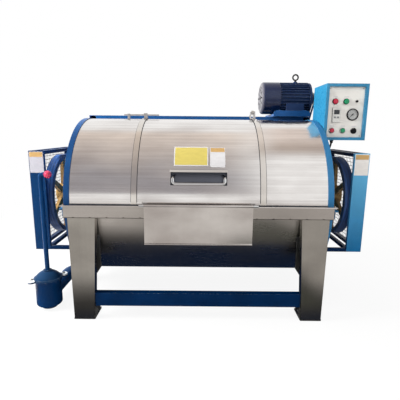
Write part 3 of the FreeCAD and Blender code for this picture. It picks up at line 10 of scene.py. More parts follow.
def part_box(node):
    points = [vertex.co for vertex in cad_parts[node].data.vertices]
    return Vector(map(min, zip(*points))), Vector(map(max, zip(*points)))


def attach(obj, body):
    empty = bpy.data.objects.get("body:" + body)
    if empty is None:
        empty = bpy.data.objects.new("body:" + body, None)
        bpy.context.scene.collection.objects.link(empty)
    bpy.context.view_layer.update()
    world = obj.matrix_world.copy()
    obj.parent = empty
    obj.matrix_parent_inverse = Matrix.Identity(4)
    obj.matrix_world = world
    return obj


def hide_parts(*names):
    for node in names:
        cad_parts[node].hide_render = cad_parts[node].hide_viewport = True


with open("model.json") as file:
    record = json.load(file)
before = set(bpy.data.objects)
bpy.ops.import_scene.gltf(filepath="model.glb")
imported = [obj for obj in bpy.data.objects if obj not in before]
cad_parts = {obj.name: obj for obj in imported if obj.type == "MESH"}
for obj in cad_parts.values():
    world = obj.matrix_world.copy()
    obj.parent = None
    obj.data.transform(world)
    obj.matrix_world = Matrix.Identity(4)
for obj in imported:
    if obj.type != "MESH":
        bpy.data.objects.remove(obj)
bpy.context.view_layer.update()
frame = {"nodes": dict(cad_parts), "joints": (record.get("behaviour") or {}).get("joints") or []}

bl_info = {
    "name": "Industrial washing machine",
    "version": (1, 0, 0),
    "blender": (4, 5, 0),
    "location": "View3D > Sidebar > Washer",
    "description": "Finishes, small fittings, guard mesh, cable and studio for the packed washing machine",
    "category": "Object",
}


def joint_place(name):
    """Anchor of one of the frame's joints, in metres."""
    return next(joint["pos_m"] for joint in frame["joints"] if joint["name"] == name)


MM = 0.001
SIDES = (-1, 1)
UP = (0, 0, 1)
FORWARD = (0, -1, 0)
AXIS_HEIGHT = joint_place("drum_spin")[2]
SHELL_RADIUS = -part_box("trough")[0].y
# Pieces laid on a surface stand off it by this much, so that their faces don't share a plane
STAND_OFF = 0.0001
# Most of a noise pattern lies between these values
NOISE_SPREAD = (0.3, 0.7)


# Properties that a user would change

def linear(code):
    """Linear colour of an sRGB hex value."""
    parts = [int(code[start:start + 2], 16) / 255 for start in (1, 3, 5)]
    return tuple(part / 12.92 if part <= 0.04045 else ((part + 0.055) / 1.055) ** 2.4 for part in parts)


def tint(code, name, description):
    """Property for a colour, from its sRGB hex value."""
    return bpy.props.FloatVectorProperty(
        name=name, description=description, subtype="COLOR", size=3, min=0, max=1, default=linear(code))


def span(millimetres, name, description):
    """Property for a length."""
    return bpy.props.FloatProperty(
        name=name, description=description, subtype="DISTANCE", unit="LENGTH", default=millimetres * MM)


def level(value, name, description):
    """Property for a plain number."""
    return bpy.props.FloatProperty(name=name, description=description, default=value)


def bearing(degrees, name, description):
    """Property for an angle."""
    return bpy.props.FloatProperty(
        name=name, description=description, subtype="ANGLE", unit="ROTATION", default=math.radians(degrees))


class WasherFinish(bpy.types.PropertyGroup):
    """Colours of the metals, paints and plastics"""
    steel: tint("#eeebe8", "Steel", "Stainless sheet where it is clean")
    steel_shade: tint("#d2cdca", "Steel shade", "Stainless sheet in its darker streaks")
    # Painted shade: a darker copy of the stainless for the aprons and trough, for the darker surroundings
    # they reflect
    painted_shade_steel: tint("#cfcac5", "Dull steel", "Stainless sheet of the aprons and trough")
    painted_shade_streaks: tint("#b3aea9", "Dull shade", "Darker streaks of the dull sheet")
    # Painted shade: the pan is a darker copy of the stainless, for the shade in the handle recess
    pan: tint("#8b8f9a", "Pan", "Pressed sheet in the shade of the handle recess")
    catch: tint("#f2f1f0", "Catch", "Drawn steel of the catches and the roller bracket")
    blue: tint("#2b7ca2", "Blue", "Enamel of the control box")
    mid_blue: tint("#31709c", "Mid blue", "Enamel of the right end plate and the bearings")
    shaded_blue: tint("#173f6c", "Shaded blue", "Enamel of the left end plate")
    guard_blue: tint("#04689e", "Guard blue", "Enamel at the foot of the right guard")
    # Painted sheen: the right guard's blue grows paler towards its top, standing in for the bright reflection
    # there
    painted_sheen_blue: tint("#65b1d8", "Pale blue", "Bleached enamel at the top of the right guard")
    frame_blue: tint("#1c5088", "Frame blue", "Enamel of the rear frame and motor base")
    # Painted shade: the guard blue darkened for the shade that falls on the left guard; the drain pipe and
    # rod share it
    painted_shade_blue: tint("#07345f", "Deep blue", "Enamel of the left guard and the drain rod")
    pot_blue: tint("#022850", "Pot blue", "Enamel of the drain pot")
    navy: tint("#00244a", "Navy", "Enamel of the lower beams and pulley rims")
    iron_grey: tint("#343434", "Iron grey", "Enamel of the foot plates and saddles")
    lid_blue: tint("#173554", "Lid blue", "Chalky enamel on the drain lid")
    motor: tint("#1b2b4d", "Motor", "Enamel of the motor")
    cowl: tint("#0a1838", "Cowl", "Enamel of the fan cowl")
    cream: tint("#dad7d1", "Cream", "Powder coat of the control panel")
    ochre: tint("#bb955a", "Ochre", "Headers of the blank plates")
    yellow: tint("#c4b35a", "Yellow", "Blank plate on the door")
    white: tint("#cac8c9", "White", "Blank plates and tags")
    red: tint("#b01f3a", "Red", "Red buttons")
    pink: tint("#d03a5a", "Pink", "Faded red of the ball knob")
    green: tint("#12895a", "Green", "Green buttons")
    black: tint("#0e0f12", "Black", "Moulded black parts")
    # Painted light: the belts are coloured the light blue of the lit pulley rims, standing in for the light
    # that falls on them
    rubber: tint("#1a4278", "Rubber", "Belts, blue with the dust of the paint")
    rust: tint("#a07c4a", "Rust", "Spokes of the drum pulleys")
    brass: tint("#c49d5a", "Brass", "Worn hubs of the drum pulleys")
    zinc: tint("#c4c2ba", "Zinc", "Bolts and screws")
    wire: tint("#39414c", "Wire", "Wire of the guard mesh")


class WasherFitting(bpy.types.PropertyGroup):
    """Sizes of the small fittings"""
    wire_pitch: span(27, "Wire pitch", "Distance between the wires of the guard mesh")
    wire_radius: span(1.9, "Wire radius", "Radius of the guard wire")
    hole_radius: span(6, "Drum hole", "Radius of the holes in the drum wall")
    hole_pitch: span(40, "Drum hole pitch", "Distance between the holes in the drum wall")
    bolt_radius: span(9, "Bolt head", "Half width over the corners of the large bolt heads")
    screw_radius: span(4, "Screw head", "Radius of the panel screws")
    plate: span(0.8, "Plate", "Thickness of the blank plates")
    cable: span(14, "Cable", "Diameter of the control cable")


class WasherStage(bpy.types.PropertyGroup):
    """Camera and studio"""
    camera_height: span(1221.7, "Camera height", "Height of the camera above the floor")
    camera_reach: span(2746, "Camera reach", "Distance of the camera in front of the drum axis")
    camera_side: span(8.6, "Camera side", "Sideways place of the camera")
    pitch: bearing(11, "Pitch", "How far the camera looks down")
    roll: bearing(0.5, "Roll", "How far the camera leans")
    lens: level(31.5, "Lens", "Focal length on a 36 mm sensor")
    ambient: level(0.5, "Ambient", "Strength of the surround for diffuse light")
    key: level(270, "Key", "Power of the lamp at the left in watts")
    fill: level(48, "Fill", "Power of the lamp in front in watts")
    back: level(50, "Back", "Power of the back lamp in watts")
    side: level(58, "Side", "Power of the lamp towards the control box in watts")


# Shapes as arrays

def surface(points, around=False):
    """One face per cell of a grid of points (rows, columns, 3), or of a stack of such grids.
    With around, the last column joins the first."""
    rows, columns = points.shape[-3:-1]
    index = np.arange(points.size // 3).reshape(-1, rows, columns)
    if around:
        index = np.concatenate([index, index[:, :, :1]], axis=2)
    cells = [index[:, :-1, :-1], index[:, 1:, :-1], index[:, 1:, 1:], index[:, :-1, 1:]]
    return points.reshape(-1, 3), np.stack(cells, axis=-1).reshape(-1, 4).tolist()


def lathe(profile, sides):
    """Profile of (radius, height) carried round the Z axis in equal steps of angle."""
    radius, height = np.asarray(profile, float).T[:, :, None]
    angle = np.linspace(0, 2 * math.pi, sides, endpoint=False)
    points = np.stack([radius * np.cos(angle), radius * np.sin(angle), height + 0 * angle], axis=-1)
    return surface(points, around=True)


def sweep(rows):
    """Closed section carried along a path, given as a grid of points, with both ends closed."""
    points, faces = surface(rows, around=True)
    columns = rows.shape[1]
    last = len(points) - columns
    return points, faces + [list(range(columns)), list(range(last, last + columns))]


def block(low, high, cut=0.0):
    """Box between two corners whose upright edges are cut at 45 degrees:
    an eight-sided section carried up Z."""
    (x0, y0, z0), (x1, y1, z1) = low, high
    section = np.array([
        (x0 + cut, y0), (x1 - cut, y0), (x1, y0 + cut), (x1, y1 - cut),
        (x1 - cut, y1), (x0 + cut, y1), (x0, y1 - cut), (x0, y0 + cut),
    ])
    return sweep(np.stack([np.column_stack([section, np.full(8, z)]) for z in (z0, z1)]))


def washer(inner, outer, thick, sides):
    """Flat ring: a four-cornered section turned about the Z axis."""
    return lathe([(inner, 0), (outer, 0), (outer, thick), (inner, thick), (inner, 0)], sides)


def placed(shape, centre, direction=UP):
    """Turn a shape so that its Z axis points along the direction, then move its origin to the centre."""
    points, faces = shape
    turn = np.array(Vector(UP).rotation_difference(Vector(direction)).to_matrix())
    return points @ turn.T + np.asarray(centre), faces


def joined(shapes):
    """Several shapes as one list of points and faces."""
    points, faces, start = [], [], 0
    for own_points, own_faces in shapes:
        points.append(own_points)
        faces += [[corner + start for corner in face] for face in own_faces]
        start += len(own_points)
    return np.concatenate(points), faces


def flat(x_range, low, high):
    """Corners of a flat section between two radii."""
    return [(x_range[0], low), (x_range[1], low), (x_range[1], high), (x_range[0], high)]


def disc(first, second, radius, sides=8):
    """Corners of a round section about a point."""
    angle = np.linspace(0, 2 * math.pi, sides, endpoint=False)
    return np.column_stack([first + radius * np.cos(angle), second + radius * np.sin(angle)])


def round_drum(section, arc_range, steps=24):
    """Closed section of (x, reach) carried round the drum axis, over degrees above the front."""
    x, reach = np.asarray(section, float).T
    arc = np.radians(np.linspace(*arc_range, steps))[:, None]
    rows = np.stack([x + 0 * arc, -reach * np.cos(arc), AXIS_HEIGHT + reach * np.sin(arc)], axis=-1)
    whole_turn = abs(arc_range[1] - arc_range[0]) == 360
    return surface(rows, around=True) if whole_turn else sweep(rows)


def along_drum(section, x_range):
    """Closed section of (y, z) carried straight along X."""
    corners = np.asarray(section, float)
    return sweep(np.stack([np.column_stack([np.full(len(corners), x), corners]) for x in x_range]))


def window_frame(outer, inner, back, front):
    """Flat upright frame: a four-cornered section carried round the corners of two rectangles,
    each given as (x0, z0, x1, z1)."""
    rows = []
    for a, b in ((0, 1), (2, 1), (2, 3), (0, 3), (0, 1)):
        (out_x, out_z), (in_x, in_z) = (outer[a], outer[b]), (inner[a], inner[b])
        rows.append([(out_x, back, out_z), (out_x, front, out_z), (in_x, front, in_z), (in_x, back, in_z)])
    return surface(np.array(rows), around=True)


def hex_bolt(radius, height):
    """Six-sided head with a domed top on a round washer."""
    head = lathe([(0, 0), (radius, 0), (radius, 0.75 * height), (0.86 * radius, height), (0, height)], 6)
    rim, thick = 1.35 * radius, 0.18 * height
    return joined([head, lathe([(0, 0), (rim, 0), (rim, thick), (0, thick)], 20)])


def pan_screw(radius):
    """Round head: a quarter ellipse turned about its axis, with a round socket sunk at the middle."""
    arc = np.linspace(0, 0.5 * math.pi, 6)
    dome = [(radius * math.cos(angle), 0.55 * radius * math.sin(angle)) for angle in arc[:-1]]
    socket = [(0.42 * radius, 0.5 * radius), (0.38 * radius, 0.25 * radius), (0, 0.25 * radius)]
    return lathe([(0, 0)] + dome + socket, 16)


def add_piece(name, shapes, material, body, smooth=35):
    """Make a mesh object of the shapes, close its seams, point its faces outwards
    and let it ride on a body."""
    points, faces = joined(shapes)
    mesh = bpy.data.meshes.new(name)
    mesh.from_pydata(points.tolist(), [], faces)
    work = bmesh.new()
    work.from_mesh(mesh)
    bmesh.ops.remove_doubles(work, verts=work.verts, dist=1e-6)
    bmesh.ops.recalc_face_normals(work, faces=work.faces)
    work.to_mesh(mesh)
    work.free()
    mesh.polygons.foreach_set("use_smooth", np.ones(len(mesh.polygons), bool))
    mesh.set_sharp_from_angle(angle=math.radians(smooth))
    mesh.materials.append(material)
    piece = bpy.data.objects.new(name, mesh)
    bpy.context.scene.collection.objects.link(piece)
    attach(piece, body)
    return piece


def dress(material, *nodes):
    """Give CAD nodes a finished material."""
    for name in nodes:
        for slot in frame["nodes"][name].material_slots:
            slot.material = material


# Materials

def add_node(tree, kind, inputs=None, out=0, **settings):
    """Add a node with its settings, set or link its inputs by name or number, and give the output asked for,
    or with None all of them."""
    made = tree.nodes.new("ShaderNode" + kind)
    for key, value in settings.items():
        setattr(made, key, value)
    for key, value in (inputs or {}).items():
        if isinstance(value, bpy.types.NodeSocket):
            tree.links.new(value, made.inputs[key])
        else:
            made.inputs[key].default_value = value
    return made.outputs if out is None else made.outputs[out]


def start_material(name, **values):
    """New material with its shader's fixed values set on the shader's own sockets."""
    material = bpy.data.materials.new(name)
    material.use_nodes = True
    shader = material.node_tree.nodes["Principled BSDF"]
    for key, value in values.items():
        shader.inputs[key.replace("_", " ").title().replace("Ior", "IOR")].default_value = value
    return material, material.node_tree, shader


def darker(colour, share):
    """The same colour with only a share of its light."""
    return tuple(share * part for part in colour)


def grain(tree, size, detail=2.0, rough=0.5):
    """Noise from 0 to 1 whose lumps measure about the given millimetres, alike or along X, Y and Z."""
    where = add_node(tree, "TexCoord", out="Object")
    scale = [1 / (MM * length) for length in np.broadcast_to(size, 3)]
    spread = add_node(tree, "Mapping", {"Vector": where, "Scale": scale})
    noise = {"Vector": spread, "Scale": 1.0, "Detail": detail, "Roughness": rough}
    return add_node(tree, "TexNoise", noise, "Fac")


def reach_from(tree, centre, across):
    """Distance from an axis through the centre. Across has a 1 for each direction that counts."""
    where = add_node(tree, "TexCoord", out="Object")
    back = [-part * counts for part, counts in zip(centre, across)]
    moved = add_node(tree, "Mapping", {"Vector": where, "Location": back, "Scale": across})
    return add_node(tree, "VectorMath", {0: moved}, "Value", operation="LENGTH")


def two_tone(tree, pattern, first, second, start=NOISE_SPREAD[0], end=NOISE_SPREAD[1], most=1.0):
    """Colour that goes from the first to the second as a pattern goes from start to end.
    Most is the largest share of the second."""
    share = add_node(tree, "MapRange", {"Value": pattern, "From Min": start, "From Max": end, "To Max": most})
    tones = [tone if isinstance(tone, bpy.types.NodeSocket) else (*tone, 1) for tone in (first, second)]
    return add_node(tree, "Mix", {0: share, 6: tones[0], 7: tones[1]}, 2, data_type="RGBA")


def finish_off(tree, shader, gloss, colour=None, relief=(), normal=None):
    """Feed the shader. Gloss holds a pattern, the roughness at its start and end and, where they aren't those
    of noise, the start and end themselves. Relief holds bumps of a pattern, its strength and its depth
    in metres, each laid upon the normal before it."""
    pattern, first, last, *ends = gloss
    start, end = ends or NOISE_SPREAD
    rough = add_node(tree, "MapRange", {
        "Value": pattern, "From Min": start, "From Max": end, "To Min": first, "To Max": last})
    tree.links.new(rough, shader.inputs["Roughness"])
    if colour is not None:
        tree.links.new(colour, shader.inputs["Base Color"])
    for pattern, strength, depth in relief:
        bump = {"Height": pattern, "Strength": strength, "Distance": depth}
        if normal is not None:
            bump["Normal"] = normal
        normal = add_node(tree, "Bump", bump)
    if normal is not None:
        tree.links.new(normal, shader.inputs["Normal"])


def brushed_stainless(name, along, light, shade, directional=True, ground=0.6, rough=0.16):
    """Stainless sheet, belt-ground: fine lines along the grinding, highlights drawn out across it,
    wiped bands and clouds, and the slow waves of thin sheet. The lines are under half a millimetre,
    drawn 3 mm wide to show. Ground tells how far the lines and bands show beside the clouds."""
    material, tree, shader = start_material(name, metallic=1.0, anisotropic=0.3 if directional else 0.0)
    streaks, bands = (
        grain(tree, (run, width, width) if along == "X" else (width, width, run))
        for width, run in ((3, 1400), (22, 900)))
    clouds = grain(tree, (420, 240, 240), 3.0)
    waves = grain(tree, (380, 300, 260), 0.0)
    marks = add_node(tree, "Math", {0: streaks, 1: 0.6, 2: bands}, operation="MULTIPLY_ADD")
    both = add_node(tree, "Math", {0: marks, 1: ground, 2: clouds}, operation="MULTIPLY_ADD")
    low, high = (0.5 + 0.8 * ground + spread for spread in (-0.22, 0.22))
    finish_off(tree, shader, (both, rough + 0.05, rough - 0.05, low, high),
               two_tone(tree, both, shade, light, low, high),
               [(waves, 1.0, 0.0012), (streaks, 0.03, 0.0005)])
    if directional:
        tangent = add_node(tree, "Tangent", direction_type="RADIAL", axis=along)
        tree.links.new(tangent, shader.inputs["Tangent"])
    return material


def gloss_enamel(name, colour, shade, rough=0.28, shine=0.14, faded=None, bare=None):
    """Brushed-on gloss enamel over welded steel: a wet shine with a slight orange peel, clouds in the
    colour, soft edges, and bright worn lines where the paint is thin on them. Painted highlight gives a paler
    colour, an axis and the two places along it between which that colour is painted in as a highlight. Pale
    edge gives a point of an upright axis and the reach from it past which the colour goes over to a pale
    grey."""
    material, tree, shader = start_material(name, specular_ior_level=shine)
    clouds = grain(tree, (160, 160, 110), 4.0)
    peel = grain(tree, 6, 1.0)
    chips = grain(tree, 14, 3.0, 0.7)
    paint = two_tone(tree, clouds, colour, shade)
    if faded:
        pale, axis, start, end = faded
        where = add_node(tree, "TexCoord", out="Object")
        place = add_node(tree, "SeparateXYZ", {0: where}, axis)
        paint = two_tone(tree, place, paint, pale, start, end)
    if bare:
        centre, reach = bare
        away = reach_from(tree, centre, (1, 1, 0))
        paint = two_tone(tree, away, paint, linear("#e2e6e8"), reach, reach + 0.003)
    soft = add_node(tree, "Bevel", {"Radius": 0.0025}, samples=4)
    sharp = add_node(tree, "NewGeometry", out="Normal")
    facing = add_node(tree, "VectorMath", {0: soft, 1: sharp}, "Value", operation="DOT_PRODUCT")
    edge = add_node(tree, "MapRange", {"Value": facing, "From Min": 0.995, "From Max": 0.88})
    chipped = add_node(tree, "MapRange", {"Value": chips, "From Min": 0.48, "From Max": 0.66, "To Max": 0.55})
    worn = add_node(tree, "Math", {0: edge, 1: chipped}, operation="MULTIPLY")
    metal = bpy.context.scene.washer_finish.zinc
    finish_off(tree, shader, (peel, rough - 0.06, rough + 0.1),
               two_tone(tree, worn, paint, metal, 0, 1), [(peel, 0.03, 0.0005)], soft)
    return material


def cast_pulley_paint(name, shaft, rim, hub):
    """Cast iron pulley: enamel on the rim, spokes rusted brown, hub rubbed to a dull gold.
    The bands follow the distance from the shaft, given by a point on it."""
    finish = bpy.context.scene.washer_finish
    material, tree, shader = start_material(name)
    rusting = grain(tree, 22, 4.0, 0.7)
    reach = reach_from(tree, shaft, (0, 1, 1))
    ragged = add_node(tree, "Math", {0: rusting, 1: 0.03, 2: reach}, operation="MULTIPLY_ADD")
    spokes = two_tone(tree, rusting, finish.rust, linear("#6f5836"))
    middle = two_tone(tree, ragged, finish.brass, spokes, hub, hub + 0.02)
    band = (rim, rim + 0.012)
    finish_off(tree, shader, (ragged, 0.72, 0.36, *band),
               two_tone(tree, ragged, middle, finish.navy, *band), [(rusting, 0.25, 0.0012)])
    return material


def machined_steel(name, colour, rough=0.34):
    """Turned or drawn mild steel: fine rings round the shaft and a thin brown film in patches."""
    material, tree, shader = start_material(name, metallic=1.0)
    rings = grain(tree, (2.5, 60, 60))
    film = grain(tree, 45, 3.0)
    finish_off(tree, shader, (rings, rough - 0.08, rough + 0.12),
               two_tone(tree, film, colour, linear("#7d7466"), most=0.6))
    return material


def polished_chrome(name):
    """Chromed tube: a mirror with faint wiping marks."""
    material, tree, shader = start_material(name, metallic=1.0, base_color=(*linear("#dedfe0"), 1))
    finish_off(tree, shader, (grain(tree, (70, 5, 5), 3.0), 0.06, 0.16))
    return material


def vulcanised_rubber(name, colour, rough=0.62):
    """Moulded rubber: dull, a little grey with dust, with a fine grain."""
    material, tree, shader = start_material(name, specular_ior_level=0.35)
    dust = grain(tree, 30, 3.0)
    fine = grain(tree, 3, 1.0)
    finish_off(tree, shader, (dust, rough - 0.08, rough + 0.12),
               two_tone(tree, dust, colour, linear("#5c6066"), most=0.25), [(fine, 0.12, 0.0004)])
    return material


def moulded_plastic(name, colour, rough=0.32, shine=0.5):
    """Injection-moulded plastic: even colour with a soft sheen and a fine spark-eroded grain."""
    material, tree, shader = start_material(name, ior=1.49, specular_ior_level=shine)
    fine = grain(tree, 1.6)
    patch = grain(tree, 18)
    finish_off(tree, shader, (fine, rough - 0.06, rough + 0.1),
               two_tone(tree, patch, colour, darker(colour, 0.78)), [(fine, 0.06, 0.0003)])
    return material


def powder_coat(name, colour):
    """Baked powder coat: satin, with a fine pebble and a few rubbed places."""
    material, tree, shader = start_material(name)
    rubbed = grain(tree, 70, 3.0)
    finish_off(tree, shader, (rubbed, 0.36, 0.5),
               two_tone(tree, rubbed, colour, darker(colour, 0.9)), [(grain(tree, 3), 0.1, 0.0004)])
    return material


def printed_vinyl(name, colour):
    """Vinyl plate under clear film: flat colour, even gloss and slight handling marks."""
    material, tree, shader = start_material(name, coat_weight=0.5, coat_roughness=0.08)
    marks = grain(tree, (35, 35, 12), 3.0)
    finish_off(tree, shader, (marks, 0.3, 0.48), two_tone(tree, marks, colour, darker(colour, 0.9)))
    return material


def clear_glass(name):
    """Flat gauge glass: clear, with a plain window shine and faint smears."""
    material, tree, shader = start_material(name, ior=1.5, transmission_weight=1.0)
    finish_off(tree, shader, (grain(tree, (25, 25, 8), 3.0), 0.0, 0.08))
    return material


# Operators for the CAD nodes' finishes

class WASHER_OT_steelwork(bpy.types.Operator):
    """Put brushed stainless on the housing, door, aprons, legs and drum"""
    bl_idname = "washer.steelwork"
    bl_label = "Steelwork"

    def execute(self, context):
        finish = context.scene.washer_finish
        dull = (finish.painted_shade_steel, finish.painted_shade_streaks)
        sheets = (
            ("brushed_stainless_lengthwise", "X", (finish.steel, finish.steel_shade), {},
             ("left_upper_cover", "right_upper_cover", "centre_rear_cover", "door_skin", "drum_lifters",
              "inner_door")),
            ("bright_stainless_strips", "Z", (linear("#e6e0d9"), linear("#d0cac3")), {"ground": 0.1},
             ("door_guides",)),
            # Painted shade: the aprons, trough and legs get darker copies of the stainless, for the darker
            # surroundings they reflect
            ("dull_stainless_lengthwise", "X", dull, {"ground": 0.15}, ("front_apron", "rear_apron")),
            ("rolled_stainless_trough", "X", dull, {"ground": 0.25, "rough": 0.3}, ("trough",)),
            ("dull_stainless_upright", "Z", (linear("#c2bfb8"), linear("#a4a09a")), {"ground": 0.1},
             ("legs",)),
            ("smooth_stainless_upright", "Z", (linear("#f6f3f0"), linear("#c6c0bc")), {"ground": 0.04},
             ("flap", "drum_ends")),
            # Painted shade: the handle pan is a darker copy of the stainless, for the shade in the recess
            ("pressed_stainless_pan", "X", (finish.pan, linear("#7c808b")), {"ground": 0.1, "rough": 0.5},
             ("door_handle_pan",)),
        )
        for name, along, (light, shade), options, nodes in sheets:
            dress(brushed_stainless(name, along, light, shade, **options), *nodes)
        dress(polished_chrome("polished_chrome"), "door_handle_bar", "flap_hinges")
        dress(machined_steel("drawn_steel_catches", finish.catch, rough=0.36), "door_catches")
        return {"FINISHED"}


class WASHER_OT_paintwork(bpy.types.Operator):
    """Put enamel on the guards, frame, control box, beams and drain"""
    bl_idname = "washer.paintwork"
    bl_label = "Paintwork"

    def execute(self, context):
        finish = context.scene.washer_finish
        low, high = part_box("right_guard_panel")
        # Painted sheen: the guard's blue goes over to the paler blue towards its top, for the reflection
        # there
        faded = (finish.painted_sheen_blue, "Z", low.z, high.z)
        low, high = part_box("drain_rod")
        rod_reach, brim = 0.060, 0.094
        # Past the brim the lid's enamel goes over to a pale grey
        bare = ((low.x + rod_reach, (low.y + high.y) / 2, 0), brim)
        enamels = (
            ("gloss_blue_enamel", finish.blue, "#257196", {"shine": 0.35},
             ("control_box", "control_box_bracket")),
            ("gloss_mid_blue_enamel", finish.mid_blue, "#2a6590", {},
             ("right_end_plate", "bearing_brackets", "drum_bearings", "jackshaft_bearings")),
            ("gloss_shaded_blue_enamel", finish.shaded_blue, "#133761", {}, ("left_end_plate",)),
            ("gloss_frame_blue_enamel", finish.frame_blue, "#174577", {}, ("rear_frame", "motor_base")),
            ("sun_faded_blue_enamel", finish.guard_blue, "#035c8c", {"faded": faded}, ("right_guard_panel",)),
            # Painted shade: the left guard, drain pipe and rod get the guard blue darkened for the shade on
            # that side
            ("gloss_deep_blue_enamel", finish.painted_shade_blue, "#062c52", {"shine": 0.1},
             ("left_guard_panel", "drain_pipe", "drain_rod")),
            ("gloss_pot_blue_enamel", finish.pot_blue, "#022143", {"shine": 0.08}, ("drain_valve_body",)),
            ("gloss_navy_enamel", finish.navy, "#001c3c", {"shine": 0.06}, ("lower_beams", "guard_brackets")),
            ("grey_iron_enamel", finish.iron_grey, "#262626", {"rough": 0.4}, ("leg_saddles", "foot_plates")),
            ("chalky_blue_enamel", finish.lid_blue, "#122b46", {"rough": 0.42, "shine": 0.1, "bare": bare},
             ("drain_valve_lid",)),
        )
        for name, colour, shade, options, nodes in enamels:
            dress(gloss_enamel(name, colour, linear(shade), **options), *nodes)
        return {"FINISHED"}


class WASHER_OT_drive_finish(bpy.types.Operator):
    """Finish the motor, pulleys, shafts and belts"""
    bl_idname = "washer.drive_finish"
    bl_label = "Drive finish"

    def execute(self, context):
        finish = context.scene.washer_finish
        dress(cast_pulley_paint("cast_iron_drum_pulley", joint_place("drum_spin"), rim=0.278, hub=0.075),
              "left_drum_pulley", "right_drum_pulley")
        dress(cast_pulley_paint("cast_iron_jack_pulley", joint_place("jackshaft_spin"), rim=0.16, hub=0.03),
              "jackshaft_pulleys")
        dress(machined_steel("turned_steel", linear("#a09c96")), "drum_shafts", "jackshaft", "motor_rotor")
        dress(gloss_enamel("black_enamel", linear("#101013"), linear("#08080a"), rough=0.4), "motor_eyebolt")
        # Painted light: the belt colour is lightened to the blue of the lit pulley rims
        dress(vulcanised_rubber("vulcanised_belt_rubber", finish.rubber), "drum_belts", "motor_belts")
        dress(vulcanised_rubber("vulcanised_seal_rubber", finish.black), "shaft_seals")
        dress(gloss_enamel("semi_gloss_motor_enamel", finish.motor, linear("#213457"), rough=0.34),
              "motor_frame")
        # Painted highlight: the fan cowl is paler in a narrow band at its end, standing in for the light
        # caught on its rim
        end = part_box("motor_fan_cowl")[0].x
        painted, bare = 0.022, 0.004
        rubbed = (linear("#5c5a60"), "X", end + painted, end + bare)
        dress(gloss_enamel("gloss_cowl_enamel", finish.cowl, linear("#0e1d3e"), rough=0.2, shine=0.5,
                           faded=rubbed), "motor_fan_cowl")
        return {"FINISHED"}


class WASHER_OT_control_finish(bpy.types.Operator):
    """Finish the panel, instruments, buttons and knobs"""
    bl_idname = "washer.control_finish"
    bl_label = "Control finish"

    def execute(self, context):
        finish = context.scene.washer_finish
        gloss = 0.22
        dress(powder_coat("cream_powder_coat", finish.cream), "control_panel")
        dress(moulded_plastic("moulded_black_plastic", finish.black, shine=0.15),
              "panel_instruments", "selector_knob", "gauge_pointer")
        dress(moulded_plastic("moulded_red_plastic", finish.red, gloss),
              "upper_red_button", "lower_red_button")
        dress(moulded_plastic("turned_pink_phenolic", finish.pink, gloss), "drain_knob")
        dress(moulded_plastic("moulded_green_plastic", finish.green, gloss),
              "upper_green_button", "lower_green_button")
        return {"FINISHED"}


# Operators for new pieces

class WASHER_OT_control_cable(bpy.types.Operator):
    """Lay the control cable from the gland below the box to the terminal box of the motor"""
    bl_idname = "washer.control_cable"
    bl_label = "Control cable"

    def execute(self, context):
        radius = context.scene.washer_fitting.cable / 2
        route = self.route(radius)
        line = bpy.data.curves.new("control_cable_line", "CURVE")
        line.dimensions = "3D"
        line.bevel_depth = radius
        line.bevel_resolution = 3
        line.resolution_u = 8
        line.use_fill_caps = True
        spline = line.splines.new("NURBS")
        spline.points.add(len(route) - 1)
        spline.points.foreach_set("co", np.column_stack([route, np.ones(len(route))]).ravel())
        spline.order_u = 3
        spline.use_endpoint_u = True
        line.materials.append(vulcanised_rubber("cable_sheath_rubber", linear("#141518"), rough=0.5))
        cable = bpy.data.objects.new("control_cable_sheath", line)
        context.scene.collection.objects.link(cable)
        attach(cable, "frame")
        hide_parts("control_cable")
        gland = self.gland(radius)
        glands = [placed(gland, route[0], (0, 0, -1)), placed(gland, route[-1], (1, 0, 0))]
        nylon = moulded_plastic("moulded_gland_nylon", linear("#1b1c1f"), rough=0.4)
        add_piece("cable_glands", glands, nylon, "frame")
        return {"FINISHED"}

    def route(self, radius):
        """From the gland down, back past the end plate in a slack curve, and up behind the beam to the motor.
        The points past the plate are shares of the reach and of the sag."""
        gland_inset, gland_y, drop = 0.119, -0.110, 0.090
        post, gap = 0.060, 0.002
        beam_back, sag = 0.560, 0.170
        terminal_inset, terminal_side, climb = 0.042, 0.180, 0.72
        past_plate = ((-0.03, -1.0), (0.26, -0.76), (0.55, -0.3), (0.83, 0.0), (1.0, 0.53))
        box_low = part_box("control_box")[0]
        motor = joint_place("motor_spin")
        exit_x, low = box_low.x + gland_inset, box_low.z
        run_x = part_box("rear_frame")[1].x - post - radius - gap
        reach = beam_back + 3 * radius
        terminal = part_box("motor_frame")[1].y - terminal_inset
        route = [(exit_x, gland_y, low), (exit_x, gland_y, low - drop)]
        route += [(run_x, share * reach, low + rise * sag) for share, rise in past_plate]
        route += [(run_x, reach, low + climb * (motor[2] - low)), (run_x, terminal, motor[2]),
                  (motor[0] - terminal_side, terminal, motor[2])]
        return route

    def gland(self, radius):
        """Six-sided nut with a domed cap round the cable, both profiles turned about its axis."""
        nut, cap, lip = 0.014, 0.0115, 0.0098
        thick, shoulder, bevel, end, edge = 0.009, 0.018, 0.022, 0.026, 0.0008
        dome = lathe([(radius, thick), (cap, thick), (cap, shoulder), (lip, bevel), (radius + edge, end),
                      (radius, end), (radius, thick)], 24)
        return joined([washer(radius, nut, thick, 6), dome])


